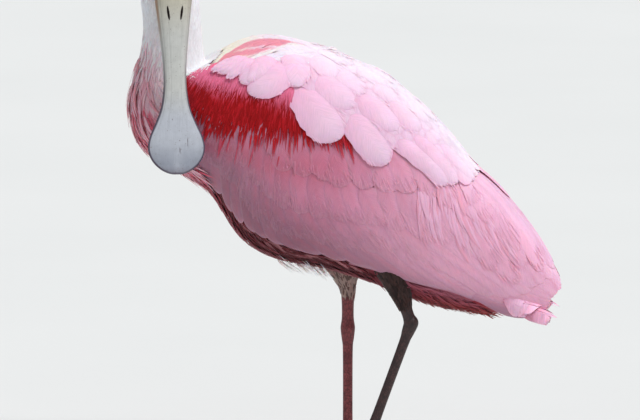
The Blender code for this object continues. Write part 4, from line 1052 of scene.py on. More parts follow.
def leg(word, thigh, ankle, joint, toes, run, hind, skin_finish, claw_finish, slot):
    """Shin, ankle, tarsus and webbed foot in one skin, its soles flat on the floor, and the claws."""
    top = thigh[-1][:3]
    above, along = unit(ankle - top), unit(joint - ankle)
    start = top - above * 6 * MM
    stations = [(start, SHANK_HALF * 0.8, SHANK_THIN * 0.8)]
    for t, k in ((0.1, 1.0), (0.4, 0.93), (0.7, 0.92), (0.9, 1.06)):
        stations.append((top + (ankle - top) * t, SHANK_HALF * k, SHANK_THIN * k))
    stations.append((ankle, ANKLE_HALF, ANKLE_HALF * 0.95))
    length = np.linalg.norm(joint - ankle) - 2 * MM
    for t, k in ((0.08, 1.22), (0.15, 1.02), (0.4, 0.96), (0.75, 0.98), (0.9, 1.12), (1, 1.25)):
        stations.append((ankle + along * length * t, TARSUS_HALF * k, TARSUS_THIN * k))
    pieces = [swept(stations, (1, 0, 0), 120)]
    pieces.append(swept([(joint + along * (d * MM), h * MM, h * MM) for d, h in ((-4, 5.6),) + BALL], (1, 0, 0), 20))
    claws, paths = [], []
    for length, turn in toes:
        path, heading = toe_path(joint, run, length, turn)
        paths.append(path)
        pieces.append(swept(path, (0, 1, 0), 60, 24))
        claws.append(claw(path[-1][0], heading, 2.1))
    rear = [(np.array((joint[0] + h * MM, joint[1], z * MM)), r * MM, r * 0.9 * MM) for h, z, r in hind]
    pieces.append(swept(rear, (0, 1, 0), 30, 24))
    claws.append(claw(rear[-2][0], unit(rear[-1][0] - rear[-2][0]), 1.9))
    for other in (1, 2):
        pieces.append(web(paths[0], paths[other]))
    obj = fused("leg_" + word, pieces, LEG_VOXEL, 3)
    points = coordinates(obj)
    points[:, 2] = np.maximum(points[:, 2], 0.05 * MM)
    set_coordinates(obj, points)
    point_colour(obj, "lines", points / MM)
    nails = joined("claws_" + word, claws)
    nails.data.shade_smooth()
    finish_piece(nails, claw_finish, slot)
    return finish_piece(obj, skin_finish, slot, "shank_" + word, "tarsus_" + word, "foot_" + word)


def claw(start, heading, size):
    """A short curved claw that starts inside the end of its toe and comes down to the floor."""
    stations = []
    flat = unit(np.array((heading[0], heading[1], min(heading[2], 0) * 0.6)))
    for k in range(7):
        t = k / 6
        centre = start + flat * ((CLAW * t - 0.6) * MM) + np.array((0, 0, (0.5 - 1.5 * t * t) * MM))
        radius = max(size * (1 - 0.86 * t ** 1.3), 0.22) * MM
        centre[2] = max(centre[2], radius + 0.1 * MM)
        stations.append((centre, radius * 0.8, radius))
    return swept(stations, (0, 1, 0), 18, 14)


def web(first, second):
    """Skin between the roots of two toes, with a hollow front edge."""
    rings = []
    for k in np.linspace(0, 4, 13):
        low = min(int(k), 3)
        a = first[low][0] + (first[low + 1][0] - first[low][0]) * (k - low)
        b = second[low][0] + (second[low + 1][0] - second[low][0]) * (k - low)
        across = np.linspace(0, 1, 9)[:, None]
        sag = unit((a + b) / 2 - first[0][0] + 1e-9) * (-2.2 * MM * k)
        line = a + (b - a) * across + sag * (4 * across * (1 - across))
        up = np.array((0, 0, WEB_HALF))
        rings.append(np.concatenate([line - up, (line + up)[::-1]]))
    return loft("web", rings)


# Plumage of each region

def varied(colour, r, amount=0.05):
    return colour * (1 + amount * (2 * r - 1))[..., None]


# Lowest angle that the folded wing reaches, by station
WING_FLOOR = ((6, 7.5, 7.9, 8.25, 8.7, 9.1, 10.0, 11.4, 12.6, 13.8, 14.7, 15.2, 16.3, 17.2, 17.6, 18.1),
              (116, 142, 156, 164, 158, 150, 141, 147, 145, 136, 136, 145, 166, 174, 172, 160))


def wing_floor(s):
    return np.radians(np.interp(s, *WING_FLOOR))


def wing_limits(a, b):
    """Narrows wing feathers where they cross the middle of the back or reach down to the belly."""
    side = np.sign(np.median(b))
    phi, floor = side * b, wing_floor(a)
    phi = np.where(phi < FEATHER_HIGHEST, FEATHER_HIGHEST + 0.25 * (phi - FEATHER_HIGHEST), phi)
    return side * np.where(phi > floor, floor + 0.08 * (phi - floor), phi)


def backing_depth(s):
    """Depth under the outline of the wing's own flesh, which the feathers lie on."""
    return (2.4 + 0.9 * smooth_step(WING_FRONT, 8, s) + 0.3 * smooth_step(12, 17, s)) * MM


def wing_pink(a0, b0, a, b, t, u, r):
    """Rose, warmer and paler to the rear and top, with pale edges; darker mauve below, at the front and at the roots is
    painted shade, and the pale edges and part of the pale rear are painted light.
    """
    phi = np.degrees(np.abs(b))
    # Mauve below: painted shade on the lower wing.
    body = mix(ROSE, WING_LOWER_SHADED, smooth_step(92, 140, phi))
    # Darker towards the front: painted shade.
    body = mix(body, WING_FRONT_SHADED, (1 - smooth_step(7.0, 10.5, a)) * 0.7)
    # Paler to the rear: partly the plumage's own pink, partly painted light.
    body = mix(body, WING_REAR, smooth_step(9.8, 13.5, a) * (1 - 0.75 * smooth_step(108, 148, phi)))
    under_red = np.exp(-((phi - np.interp(a, *RED_LOW) - 8) / 8) ** 2) * (1 - smooth_step(9.5, 11, a))
    body = mix(body, STREAK, 0.4 * under_red)
    body = mix(body, SCAPULAR, (1 - smooth_step(30, 70, phi)) * 0.9)
    # Darker towards each feather's root: painted shade under the feathers that overlap it.
    shade = mix(body * 0.92, body, smooth_step(0.1, 0.8, t))
    # Pale edges and tips: painted light through the thin vanes.
    shade = mix(shade, ROSE_EDGE, 0.20 * smooth_step(0.72, 1, np.abs(u)) + 0.12 * smooth_step(0.85, 1, t))
    shade = mix(shade, ROSE_ROOT, 0.10 * np.exp(-(u / 0.07) ** 2))
    return varied(shade, r, 0.04 + 0.07 * (1 - smooth_step(7.5, 10.5, a)))


def wisp_pink(a0, b0, a, b, t, u, r):
    body = mix(mix(SCAPULAR, WING_REAR, 0.4), WING_REAR, r + 0 * t)
    return varied(mix(body, srgb(236, 146, 166), (r > 0.75) * 0.5 + 0 * t), r, 0.03)


def scapular_pink(a0, b0, a, b, t, u, r):
    phi = np.degrees(np.abs(b))
    body = mix(WHITE_PINK, SCAPULAR, smooth_step(8, 50, phi))
    # Deeper pink at the roots: painted shade in the folds between the lobes.
    shade = mix(SCAPULAR_FOLD_SHADE, body, smooth_step(-0.15, 0.5, t + 0.12 * (1 - u ** 2)))
    # A whiter middle towards each lobe's tip: painted highlight on the domed lobes.
    shade = mix(shade, WHITE_PINK, 0.25 * smooth_step(0.3, 0.8, t) * (1 - u ** 2))
    return varied(shade, r, 0.02)


def scapular_edge(a0, b0, a, b, t, u, r):
    body = mix(WHITE_PINK, SCAPULAR, smooth_step(8, 50, np.degrees(np.abs(b))))
    return varied(mix(body, WHITE_PINK, 0.3 * r + 0 * t), r, 0.02)


def covert_red(a0, b0, a, b, t, u, r):
    """Magenta along the top of the shoulder, deep carmine below it, with brighter single plumes."""
    phi = np.degrees(np.abs(b))
    deep, low = np.interp(a, *RED_DEEP), np.interp(a, *RED_LOW)
    red = mix(CARMINE_BRIGHT, CARMINE, smooth_step(0.1, 0.6, r + 0 * phi))
    red = mix(MAGENTA, red, smooth_step(-9, 5, phi - deep + 9 * (r - 0.5)))
    red = mix(red, STREAK, 0.9 * smooth_step(-5, 6, phi - low + 8 * (r - 0.5)))
    red = mix(red, STREAK, 0.5 * (1 - smooth_step(5.4, 6.6, a)) * smooth_step(84, 104, phi))
    return varied(red + 0 * t[..., None], r, 0.08)


def neck_white(a0, b0, a, b, t, u, r):
    side = np.degrees(np.abs(b0))
    front = smooth_step(75, 150, side)
    lower = smooth_step(1.2, 3.6, a0)
    body = mix(NECK_WHITE, NECK_PINK, front * lower * 0.8 * (0.4 + 0.6 * r) + 0 * t)
    # Darker towards each tuft's root: painted shade under the tufts that overlap it.
    return varied(mix(body * 0.9, body, smooth_step(0.1, 0.7, t)), r, 0.05)


def breast_pink(a0, b0, a, b, t, u, r):
    side = np.degrees(np.abs(b0))
    front = smooth_step(70, 130, side)
    red = smooth_step(2.6, 5.0, a0 + 0.8 * (side > 150)) * smooth_step(0.25, 0.8, r)
    body = mix(NECK_PINK, CRIMSON, front * red * 0.9 + 0 * t)
    body = mix(NECK_WHITE, body, front * smooth_step(2.0, 3.4, a0 + 1.2 * (r - 0.5)) + 0 * t)
    # Darker towards each plume's root: painted shade under the plumes that overlap it.
    return varied(mix(body * 0.85, body, smooth_step(0.05, 0.6, t)), r, 0.08)


# Salmon band on the mantle: its upper and lower border by station
SALMON_TOP = ((5.4, 5.46, 5.53, 5.8, 6.1, 6.5, 6.9, 7.3), (62, 48, 38, 27, 17, 13, 11, 11))
SALMON_LOW = ((5.4, 5.8, 6.05, 6.23, 6.6, 6.94, 7.23, 7.36, 7.52), (68, 62, 53, 47, 43.5, 38, 29, 21, 12))


def mantle_cream(a0, b0, a, b, t, u, r):
    """Cream along the front of the shoulders, a salmon band behind it, white-pink towards the back."""
    phi = np.degrees(np.abs(b)) + 3 * (r - 0.5)
    band = smooth_step(-3, 1.5, phi - np.interp(a, *SALMON_TOP)) * smooth_step(-1.5, 2.5, np.interp(a, *SALMON_LOW) - phi)
    band = band * (1 - 0.75 * np.exp(-((phi - 34 + 5 * (a - 6)) / 1.7) ** 2) * smooth_step(5.8, 6.1, a))
    body = mix(CREAM, WHITE_PINK, smooth_step(5.9, 6.9, a))
    body = mix(body, SALMON, band * 0.95)
    body = mix(body, CREAM, 0.6 * np.exp(-((phi - np.interp(a, *SALMON_LOW) - 3) / 3) ** 2))
    return varied(body, r, 0.04)


def back_white(a0, b0, a, b, t, u, r):
    # Deeper pink at the roots: painted shade under the overlapping feathers.
    body = mix(SCAPULAR_FOLD_SHADE, WHITE_PINK, smooth_step(0.05, 0.5, t))
    return varied(body, r, 0.04)


def spine_pink(a0, b0, a, b, t, u, r):
    """Pale feathers along the spine, pink as the rear of the wings from where the scapulars end."""
    body = mix(WHITE_PINK, mix(SCAPULAR, WING_REAR, 0.5), smooth_step(12.6, 13.6, a))
    return varied(body, r, 0.03)


def fluff_white(a0, b0, a, b, t, u, r):
    return varied(mix(WHITE_PINK, NECK_WHITE, 0.5 * r + 0 * t), r, 0.03)


def belly_rose(a0, b0, a, b, t, u, r):
    phi = np.degrees(np.abs(b))
    # Darkened belly rose, lighter higher on the sides: painted shade under the body.
    body = mix(CRIMSON, BELLY_SHADED, smooth_step(6.3, 9.5, a))
    body = mix(body, UNDERTAIL, smooth_step(12.5, 14.5, a))
    body = mix(body, ROSE, 0.35 * (1 - smooth_step(120, 150, phi)))
    # Darker roots and lighter tips: painted shade between the overlapping feathers.
    return varied(mix(body * 0.8, body * 1.06, smooth_step(0.2, 0.95, t)), r, 0.09)


def thigh_pale(a0, b0, a, b, t, u, r):
    """Brownish white, rosier above and speckled with dusky tufts, which also serve as painted shade; darker roots are
    painted shade.
    """
    body = mix(BELLY_SHADED, THIGH_ROSE, smooth_step(0.8, 2.2, a0) + 0 * t)
    # Dusky tufts: partly the plumage's own tone, partly painted shade on the thigh.
    body = mix(body, THIGH_DUSK, 0.8 * (r < 0.35) + 0 * t)
    # Darker towards each tuft's root: painted shade under the tufts that overlap it.
    return varied(mix(body * 0.8, body, smooth_step(0.1, 0.8, t)), r, 0.1)


def thigh_dark(a0, b0, a, b, t, u, r):
    body = mix(THIGH_BLACK, THIGH_DUSK, 0.5 * r + 0 * t)
    return varied(body, r, 0.12)


THIGH_COLOURS = {"right": thigh_pale, "left": thigh_dark}


def tail_coral(a0, b0, a, b, t, u, r):
    body = mix(TAIL_CORAL, srgb(244, 170, 172), 0.6 * smooth_step(0.6, 1, t) + 0.2 * u ** 2)
    # Darker towards each feather's root: painted shade under the feathers that overlap it.
    return varied(mix(body * 0.9, body, smooth_step(0.0, 0.5, t)), r, 0.05)


def tail_cover(a0, b0, a, b, t, u, r):
    under = smooth_step(0.15, -0.15, np.cos(b0)) * (1 - smooth_step(0.2, 1.2, a0)) + 0 * t
    body = mix(mix(ROSE, SCAPULAR, smooth_step(0.3, 1, t)), mix(UNDERTAIL, CRIMSON, 0.4 * r + 0 * t), under)
    return varied(body, r, 0.07)


def down_white(a0, b0, a, b, t, u, r):
    return varied(mix(srgb(255, 236, 238), srgb(255, 252, 252), t), r, 0.03)


def degrees(*values):
    return tuple(math.radians(v) for v in values)


# How far down the white of the neck reaches, by the angle round from its back
NECK_FOOT = ((0, 26, 45, 65, 73, 85, 100, 115), (4.7, 4.75, 4.8, 4.95, 4.8, 4.3, 4.2, 4.4))


def neck_coat(material):
    """Short dense plumage of the neck, longer and looser towards its foot."""
    draw = np.random.default_rng(SEED + 1)
    coat = Coat("neck_coat")
    a, b = scatter(NECK_TUBE, (0.25, 5.0), (-math.pi, math.pi), 2.6 * MM, 1.9 * MM, draw)
    keep = bare_head_clear(NECK_TUBE, a, b)
    a, b = a[keep], b[keep]
    coat.lay(NECK_TUBE, a, b, draw.normal(0, 0.12, len(a)), draw.uniform(8, 12, len(a)) * MM, 2.0 * MM,
             level_rows(draw, len(a), (-1.1, -0.7, -0.6), 0.1), DOWN, neck_white, draw)
    a, b = scatter(BODY, (0.0, 5.0), (-math.pi, math.pi), 2.9 * MM, 2.0 * MM, draw)
    keep = a < np.interp(np.degrees(np.abs(b)), *NECK_FOOT)
    a, b = a[keep], b[keep]
    grow = smooth_step(1.5, 4.0, a)
    side = np.degrees(np.abs(b))
    corner = smooth_step(2.6, 3.6, a) * (1 - smooth_step(60, 90, side))
    long = (10 + 5 * grow) * (1 - 0.5 * corner)
    coat.lay(BODY, a, b, draw.normal(0, 0.10, len(a)), long * MM * draw.uniform(0.85, 1.2, len(a)),
             (1.9 + 0.5 * grow) * MM, level_rows(draw, len(a), (-1.2, -0.7, -0.6), 0.12), DOWN, neck_white, draw)
    return coat.make(material, "neck_plumage", "neck_lower")


def bare_head_clear(surface, a, b):
    """True where a place on the neck isn't inside the head."""
    back, crown, side = head_axes()
    local = surface.base(a, b) - BILL_BASE
    p, q, r = local @ back, local @ crown, local @ side
    half = np.interp(p, HEAD[:, 0], HEAD[:, 1])
    high = np.where(q > 0, np.interp(p, HEAD[:, 0], HEAD[:, 2]), np.interp(p, HEAD[:, 0], HEAD[:, 3]))
    inside = (r / half) ** 2 + (q / high) ** 2 < 1.02
    return ~(inside & (p > -2 * MM) & (p < 62 * MM))


def level_rows(draw, count, levels, spread):
    """Heights at root, middle and tip for each feather, in metres, the tip varied most."""
    rows = np.tile(np.array(levels, float), (count, 1))
    vary = draw.normal(0, spread, count)
    rows[:, 1] += 0.4 * vary
    rows[:, 2] += np.abs(vary)
    return rows * MM


def breast_coat(material):
    """Shaggy hanging plumes on the front and sides of the lower neck."""
    draw = np.random.default_rng(SEED + 2)
    coat = Coat("breast_plumes")
    for side in (LEFT, RIGHT):
        a, b = scatter(BODY, (2.2, 7.4), degrees(66, 180), 3.2 * MM, 2.3 * MM, draw)
        keep = np.degrees(b) > np.interp(a, (2.2, 3.9, 4.4, 6.0, 7.4), (66, 70, 104, 122, 150))
        keep &= draw.uniform(0, 1, len(a)) < smooth_step(1.8, 3.4, a)
        a, b = a[keep], b[keep]
        front = smooth_step(80, 150, np.degrees(b))
        size = smooth_step(2.2, 4.0, a) * (1 - 0.35 * smooth_step(5.5, 7.0, a))
        length = (13 + 18 * front * size) * draw.uniform(0.75, 1.25, len(a)) * MM
        loose = front * size * draw.gamma(1.4, 0.9, len(a))
        heights = np.stack([np.full(len(a), -2.2), -0.3 + 0.7 * loose, 0.1 + loose], -1) * MM
        coat.lay(BODY, a, side * b, draw.normal(0.0, 0.13, len(a)), length, draw.uniform(1.1, 1.8, len(a)) * MM,
                 heights, PLUME, breast_pink, draw, bend=draw.normal(0, 0.2, len(a)))
    return coat.make(material, "neck_plumage")


def mantle_coat(material):
    """Smooth fluffed feathers that sweep up and back round the front of the shoulders."""
    draw = np.random.default_rng(SEED + 3)
    coat = Coat("mantle")
    a, b = scatter(WINGS, (4.3, 7.9), degrees(-66, 66), 4.6 * MM, 3.4 * MM, draw)
    phi = np.abs(np.degrees(b))
    keep = (phi < np.interp(a, (4.3, 4.8, 5.6, 6.0, 6.6, 7.4, 7.9), (20, 50, 61, 61, 54, 44, 36))) & (a > 4.65)
    a, b, phi = a[keep], b[keep], phi[keep]
    lean = -np.radians(52 * smooth_step(6, 40, phi) * (1 - smooth_step(6.2, 7.6, a)))
    lower = 1.6 * (1 - smooth_step(4.6, 5.8, a))
    rows = level_rows(draw, len(a), (-2.6, -0.5, 0.1), 0.2) - (lower * MM)[:, None]
    coat.lay(WINGS, a, b, lean + draw.normal(0.0, 0.07, len(a)), (12 + 10 * smooth_step(4.7, 5.6, a)) * MM, 2.6 * MM,
             rows, CONTOUR, mantle_cream, draw)
    return coat.make(material, "neck_plumage")


def back_coat(material):
    """Pale feathers down the middle of the back and over the rump."""
    draw = np.random.default_rng(SEED + 4)
    coat = Coat("back_coat")
    a, b = scatter(BODY, (6.4, 15.4), degrees(-24, 24), 8.5 * MM, 6.5 * MM, draw)
    keep = ~((a < 10.8) & (np.abs(np.degrees(b)) > 12))
    a, b = a[keep], b[keep]
    saddle = seat_depth(a, np.abs(b)) / MM
    rows = level_rows(draw, len(a), (-2.6, -0.5, -0.3), 0.15) - (0.15 * saddle * MM)[:, None]
    coat.lay(BODY, a, b, draw.normal(0.0, 0.1, len(a)), draw.uniform(26, 34, len(a)) * MM, 6.2 * MM,
             rows, CONTOUR, back_white, draw)
    a = np.arange(6.9, 13.4, 0.27)
    b = np.radians(draw.uniform(-2.5, 2.5, len(a)))
    rows = level_rows(draw, len(a), (-2.4, -0.5, -0.4), 0.15)
    coat.lay(WINGS, a, b, draw.normal(0.0, 0.05, len(a)), 34 * MM, 9 * MM, rows, COVERT, spine_pink, draw)
    for first, last, count in ((7.7, 8.7, 46), (9.3, 9.9, 30)):
        a, b = draw.uniform(first, last, count), np.radians(draw.uniform(-8, 8, count))
        coat.lay(BODY, a, b, draw.normal(0.0, 0.3, count), draw.uniform(14, 22, count) * MM, 1.1 * MM,
                 level_rows(draw, count, (-1.5, 0.5, 1.7), 0.8), PLUME, fluff_white, draw)
    return coat.make(material, "body_plumage")


def belly_coat(material):
    """Short velvety feathers below the wings, a small down tuft, and a ragged fringe under the tail."""
    draw = np.random.default_rng(SEED + 5)
    coat = Coat("belly_coat")
    for side in (LEFT, RIGHT):
        a, b = scatter(BODY, (6.4, 15.3), degrees(112, 180), 4.6 * MM, 3.5 * MM, draw)
        keep = ~((a < 13) & (np.degrees(b) < 132) & (a > 7.3))
        a, b = a[keep], b[keep]
        seat = seat_depth(a, b) / MM
        rows = level_rows(draw, len(a), (-2.2, -0.6, 0.0), 0.25) - (seat * MM)[:, None]
        coat.lay(BODY, a, side * b, draw.normal(0.0, 0.12, len(a)), 14 * MM * draw.uniform(0.85, 1.2, len(a)),
                 2.6 * MM, rows, PLUME, belly_rose, draw)
        a, b = scatter(BODY, (12.2, 15.2), degrees(128, 180), 4.0 * MM, 2.6 * MM, draw)
        coat.lay(BODY, a, side * b, draw.normal(0.25, 0.2, len(a)), draw.uniform(18, 34, len(a)) * MM,
                 draw.uniform(0.9, 1.6, len(a)) * MM, level_rows(draw, len(a), (-2.2, 0.4, 1.8), 1.2), PLUME,
                 belly_rose, draw, bend=draw.normal(0, 0.3, len(a)))
        count = 44
        a, b = draw.uniform(9.9, 11.0, count), np.radians(draw.uniform(160, 180, count))
        coat.lay(BODY, a, side * b, draw.normal(0.0, 0.4, count), draw.uniform(14, 22, count) * MM, 0.9 * MM,
                 level_rows(draw, count, (-2.0, 3.0, 7.0), 1.5), HAIR, down_white, draw)
    return coat.make(material, "body_plumage", "torso")


def thigh_coat(material):
    draw = np.random.default_rng(SEED + 6)
    for word, tube, first, last in (("right", RIGHT_THIGH_TUBE, 0.6, 4.8), ("left", LEFT_THIGH_TUBE, 0.7, 3.8)):
        coat = Coat("thigh_coat_" + word)
        a, b = scatter(tube, (first, last), (-math.pi, math.pi), 2.8 * MM, 2.0 * MM, draw)
        coat.lay(tube, a, b, draw.normal(0.0, 0.15, len(a)), draw.uniform(8, 12, len(a)) * MM, 1.4 * MM,
                 level_rows(draw, len(a), (-1.4, -0.3, 0.1), 0.3), DOWN, THIGH_COLOURS[word], draw)
        coat.make(material, "body_plumage", "thigh_" + word)


def tail(material, cover_material):
    """A closed fan of tail feathers, with coverts over and under its root."""
    draw = np.random.default_rng(SEED + 7)
    coat = Coat("tail_feathers")
    flat = Trunk(OUTLINE)
    flat.strip = (0.02, 0.98)
    fan = Tube(np.column_stack([TAIL[:, :3], np.full(len(TAIL), 1.0 * MM), TAIL[:, 4]]), (0, 0, 1), power=0.9)
    count = 12
    for k in range(count):
        place = (k - (count - 1) / 2) / ((count - 1) / 2)
        start = 1.45
        turn = math.pi / 2 * (1 - 0.86 * place)
        drop = -1.0 - 3.2 * abs(place)
        coat.lay(fan, np.array([start]), np.array([turn]), -0.02 * place, (52 - 3 * abs(place)) * MM, 6.0 * MM,
                 np.array([drop, drop, drop]) * MM, FLIGHT._replace(cols=9, camber=0.4, fray=0.02), tail_coral, draw)
    made = coat.make(material, "tail_plumage", "tail")
    coat = Coat("tail_coverts")
    a, b = scatter(TAIL_TUBE, (-0.5, 2.3), (-math.pi, math.pi), 6.5 * MM, 5.2 * MM, draw)
    a = np.maximum(a, -0.4)
    under = smooth_step(0.2, -0.4, np.cos(b))
    rows = level_rows(draw, len(a), (-2.4, -0.4, 0.4), 0.4)
    rows[:, 2] += under * draw.gamma(1.5, 0.9, len(a)) * MM
    coat.lay(TAIL_TUBE, a, b, draw.normal(0.0, 0.12, len(a)), (26 + 8 * under) * MM * draw.uniform(0.8, 1.15, len(a)),
             (5.2 - 2.4 * under) * MM, rows, CONTOUR._replace(notch=0.08, fray=0.06), tail_cover, draw)
    for depth, count in ((4.5, 11), (7.5, 9), (10.5, 7)):
        b = np.radians(np.linspace(-78, 78, count) + draw.uniform(-3, 3, count))
        rows = level_rows(draw, count, (-depth - 1, -depth, -depth), 0.2)
        coat.lay(WINGS, 14.5 + draw.uniform(-0.1, 0.1, count), b, 0.02, (64 + depth) * MM, 7.5 * MM, rows, COVERT,
                 tail_cover, draw)
    count = 60
    a, b = draw.uniform(0.6, 2.4, count), np.radians(draw.uniform(-85, 85, count))
    rise = draw.uniform(2, 19, count) * np.cos(b) ** 0.5
    coat.lay(TAIL_TUBE, a, b, draw.normal(0, 0.08, count), draw.uniform(34, 44, count) * MM, 4.6 * MM,
             np.stack([-2 + 0 * rise, rise, 0.9 * rise], -1) * MM, CONTOUR, tail_cover, draw)
    coat.make(cover_material, "tail_plumage")
    return made


def wing_arm(side, material, node):
    """The folded wing under its feathers, a slab that thins out towards the tip."""
    rings = []
    for s in np.linspace(WING_FRONT, 15.6, 66):
        front = 1 - smooth_step(WING_FRONT, WING_FRONT + 1.4, s)
        top = math.radians(3 + 22 * front)
        low = wing_floor(s) - math.radians(7)
        share = np.linspace(0, 1, 56)
        thick = (ARM_THICK - 3.6 * MM * smooth_step(9, 16, s)) * (1 - 0.6 * front)
        rim = 1 - np.sqrt(np.maximum(np.sin(math.pi * share), 0))
        phi = side * (top + (low - top) * share)
        depth = backing_depth(s)
        outer = WINGS.point(np.full(56, s), phi, -(depth + thick * 0.45 * rim))
        inner = WINGS.point(np.full(56, s), phi, -(depth + thick) + 0 * phi)
        rings.append(np.concatenate([outer, inner[::-1]]))
    obj = loft("wing_arm_" + ("left" if side == LEFT else "right"), rings)
    obj.data.shade_smooth()
    point_colour(obj, "tint", np.broadcast_to(ROSE, (len(obj.data.vertices), 3)))
    point_colour(obj, "lines", coordinates(obj) / MM)
    return finish_piece(obj, material, "wing_plumage", node)


def rooted(surface, s, phi, lean, length):
    """Walks back from feather tips to their roots. Angles in radians, b taken as positive."""
    steps = 6
    for _ in range(steps):
        along, across = surface.slopes(s, phi)
        s = s - np.cos(lean) * length / steps / np.linalg.norm(along, axis=-1)
        phi = phi - np.sin(lean) * length / steps / np.linalg.norm(across, axis=-1)
    return s, phi


# Rows by their tips, the lowest row first. Each table runs along the row: station and angle of the tip,
# lean in degrees, length and half width in millimetres. Levels are of the middle and the tip.
Row = namedtuple("Row", "count s phi lean length half levels style")
FLIGHT_ROWS = (
    Row(22, (14.4, 15.6, 16.6, 17.3, 17.8, 18.3, 18.5, 18.4, 18.2), (137, 148, 163, 168, 158, 128, 92, 58, 26),
        (14, 14, 12, 8, 4, 0, -2, -3, -3), (150, 160, 170, 176, 180, 180, 176, 170), (8.5, 9), (-2.7, -2.6), FLIGHT),
    Row(18, (7.4, 8.3, 9.4, 11, 12.8, 14.6), (140, 158, 144, 143, 144, 134), (64, 54, 42, 28, 20, 12),
        (50, 58, 70, 86, 104, 130), (9, 9.5, 10, 10, 9.5), (-2.4, -2.3), FLIGHT),
    Row(8, (15.2, 16.6, 17.35, 17.7), (120, 104, 76, 48), (10, 6, 2, -2), (140, 130), (10, 10), (-2.0, -2.0), FLIGHT),
    Row(7, (16.2, 17.0, 17.45, 17.5, 17.3), (74, 54, 36, 20, 6), (12, 6, 2), (120, 110), (11, 10), (-1.7, -1.7), FLIGHT),
)
COVERT_ROWS = (
    Row(20, (7.5, 9, 11, 12.8, 14.6), (134, 134, 131, 120, 104), (66, 54, 40, 28, 18), (58, 66, 74, 80, 84),
        (10, 10, 10.5, 10.5, 10), (-2.1, -2.1), COVERT),
    Row(19, (6.9, 8, 10, 12, 13.8), (112, 117, 115, 103, 88), (74, 64, 50, 36, 22), (48, 52, 56, 60, 62),
        (10, 10.5, 11, 11, 10.5), (-1.8, -1.8), COVERT),
    Row(17, (6.4, 7.5, 9, 11, 13.0), (94, 98, 96, 88, 70), (80, 72, 58, 40, 22), (40, 44, 48, 52, 56),
        (9, 10, 10.5, 11, 10.5), (-1.5, -1.5), COVERT),
    Row(4, (13.6, 14.6, 15.35), (58, 64, 66), (26, 24, 20), (50, 62), (8, 9.5), (-1.2, -1.2), COVERT),
    Row(3, (15.0, 15.8, 16.7), (92, 94, 62), (24, 16), (60, 60), (9.5, 9.5), (-1.4, -1.3), COVERT),
)
# Scapulars: root station, root angle, lean, length, half width, level of the tip
SCAPULARS = (
    (10.29, 57.5, 1, 84, 10.0, -0.4), (10.72, 45, 4, 78, 9.5, -0.3), (11.5, 35, -1, 64, 9.5, -0.6),
    (11.5, 22, -1, 66, 10.0, -0.9), (11.4, 9, 2, 70, 9.5, -1.3), (9.2, 54.5, 23, 74, 14.5, -0.1),
    (8.0, 54, 24.5, 70, 19.0, 0.2), (9.3, 45, 6, 61, 12.0, 0.2), (10.0, 35, 2, 52, 10.5, 0.2),
    (10.4, 18, 6, 42, 10.0, 0.3), (10.5, 7, 3, 44, 9.5, 0.4), (9.5, 25, 7, 44, 10.5, 0.4),
    (8.2, 40, 16, 56, 13.5, 0.4), (8.9, 15, 6, 52, 11.0, 0.5), (9.2, 6, 3, 48, 10.0, 0.5),
    (8.4, 30, 12, 50, 12.0, 0.5), (8.0, 36, 111, 53, 15.5, 0.5), (7.75, 33, 62, 33, 13.5, 0.7),
    (7.8, 22, 22, 48, 12.0, 0.6), (7.8, 9, 8, 50, 11.0, 0.6), (7.25, 40, 101, 36, 10.0, 0.7),
    (7.1, 33, 84, 38, 10.0, 0.8), (7.4, 25, 50, 40, 10.5, 0.7), (6.9, 42, 112, 30, 7.5, 0.9),
    (6.6, 38, 108, 31, 7.0, 1.0), (6.35, 37, 106, 28, 6.5, 1.0), (6.1, 41, 104, 22, 5.5, 0.9),
    (6.97, 43, 80, 31, 6.0, 1.1), (6.71, 48, 96, 24, 4.4, 1.3), (6.4, 49, 113, 20, 4.0, 1.4), (6.18, 51, 119, 17, 3.4, 1.4),
)


def lay_rows(coat, side, rows, colour, draw):
    for row in rows:
        share = np.linspace(0, 1, row.count)

        def along(table):
            return np.interp(share, np.linspace(0, 1, len(table)), table)

        s = along(row.s) + 0.06 * draw.uniform(-1, 1, row.count)
        phi = np.radians(along(row.phi) + 1.6 * draw.uniform(-1, 1, row.count))
        lean = np.radians(along(row.lean) + 3.0 * draw.uniform(-1, 1, row.count))
        length = along(row.length) * (1 + 0.06 * draw.uniform(-1, 1, row.count)) * MM
        root_s, root_phi = rooted(WINGS, s, phi, lean, length)
        root_phi = np.clip(root_phi, math.radians(1), math.pi)
        level = np.array((-2.6, *row.levels)) * MM
        heights = np.tile(level, (row.count, 1))
        half = along(row.half) * MM
        coat.lay(WINGS, root_s, side * root_phi, lean, length, half, heights, row.style, colour, draw, limit=wing_limits)
        if row.style is COVERT:
            lay_fringe(coat, side, root_s, root_phi, lean, length, half, level[2] + 0.35 * MM + 0 * half, COVERT, colour,
                       draw, 22)


def lay_fringe(coat, side, s, phi, lean, length, half, level, style, colour, draw, each):
    """Fine loose barbs round the tips of feathers, which soften their edges. phi is taken as positive."""
    pick = np.repeat(np.arange(len(s)), each)
    count = len(pick)
    u, t = draw.uniform(-0.95, 0.95, count), draw.uniform(0.55, 0.9, count)
    lean, length, half = lean[pick], length[pick], half[pick]
    round_part = np.clip(style.round * half / length, 0.02, 0.6)
    reach = 1 - round_part * (1 - np.sqrt(1 - u ** 2))
    a, b = rooted(WINGS, s[pick], phi[pick], lean, -t * reach * length)
    along, across = WINGS.slopes(a, b)
    a = a - np.sin(lean) * u * half / np.linalg.norm(along, axis=-1)
    b = b + np.cos(lean) * u * half / np.linalg.norm(across, axis=-1)
    barb = np.maximum((1 - t) * reach * length + draw.uniform(-2.5, 0.4, count) * MM, 4 * MM)
    levels = np.stack([level[pick] - 0.6 * MM, level[pick] + draw.uniform(-0.1, 0.5, count) * MM,
                       level[pick] + draw.uniform(-0.4, 0.4, count) * MM], -1)
    coat.lay(WINGS, a, side * b, lean + 0.12 * u + draw.normal(0, 0.06, count), barb,
             draw.uniform(0.45, 0.9, count) * MM, levels, HAIR, colour, draw, limit=wing_limits)


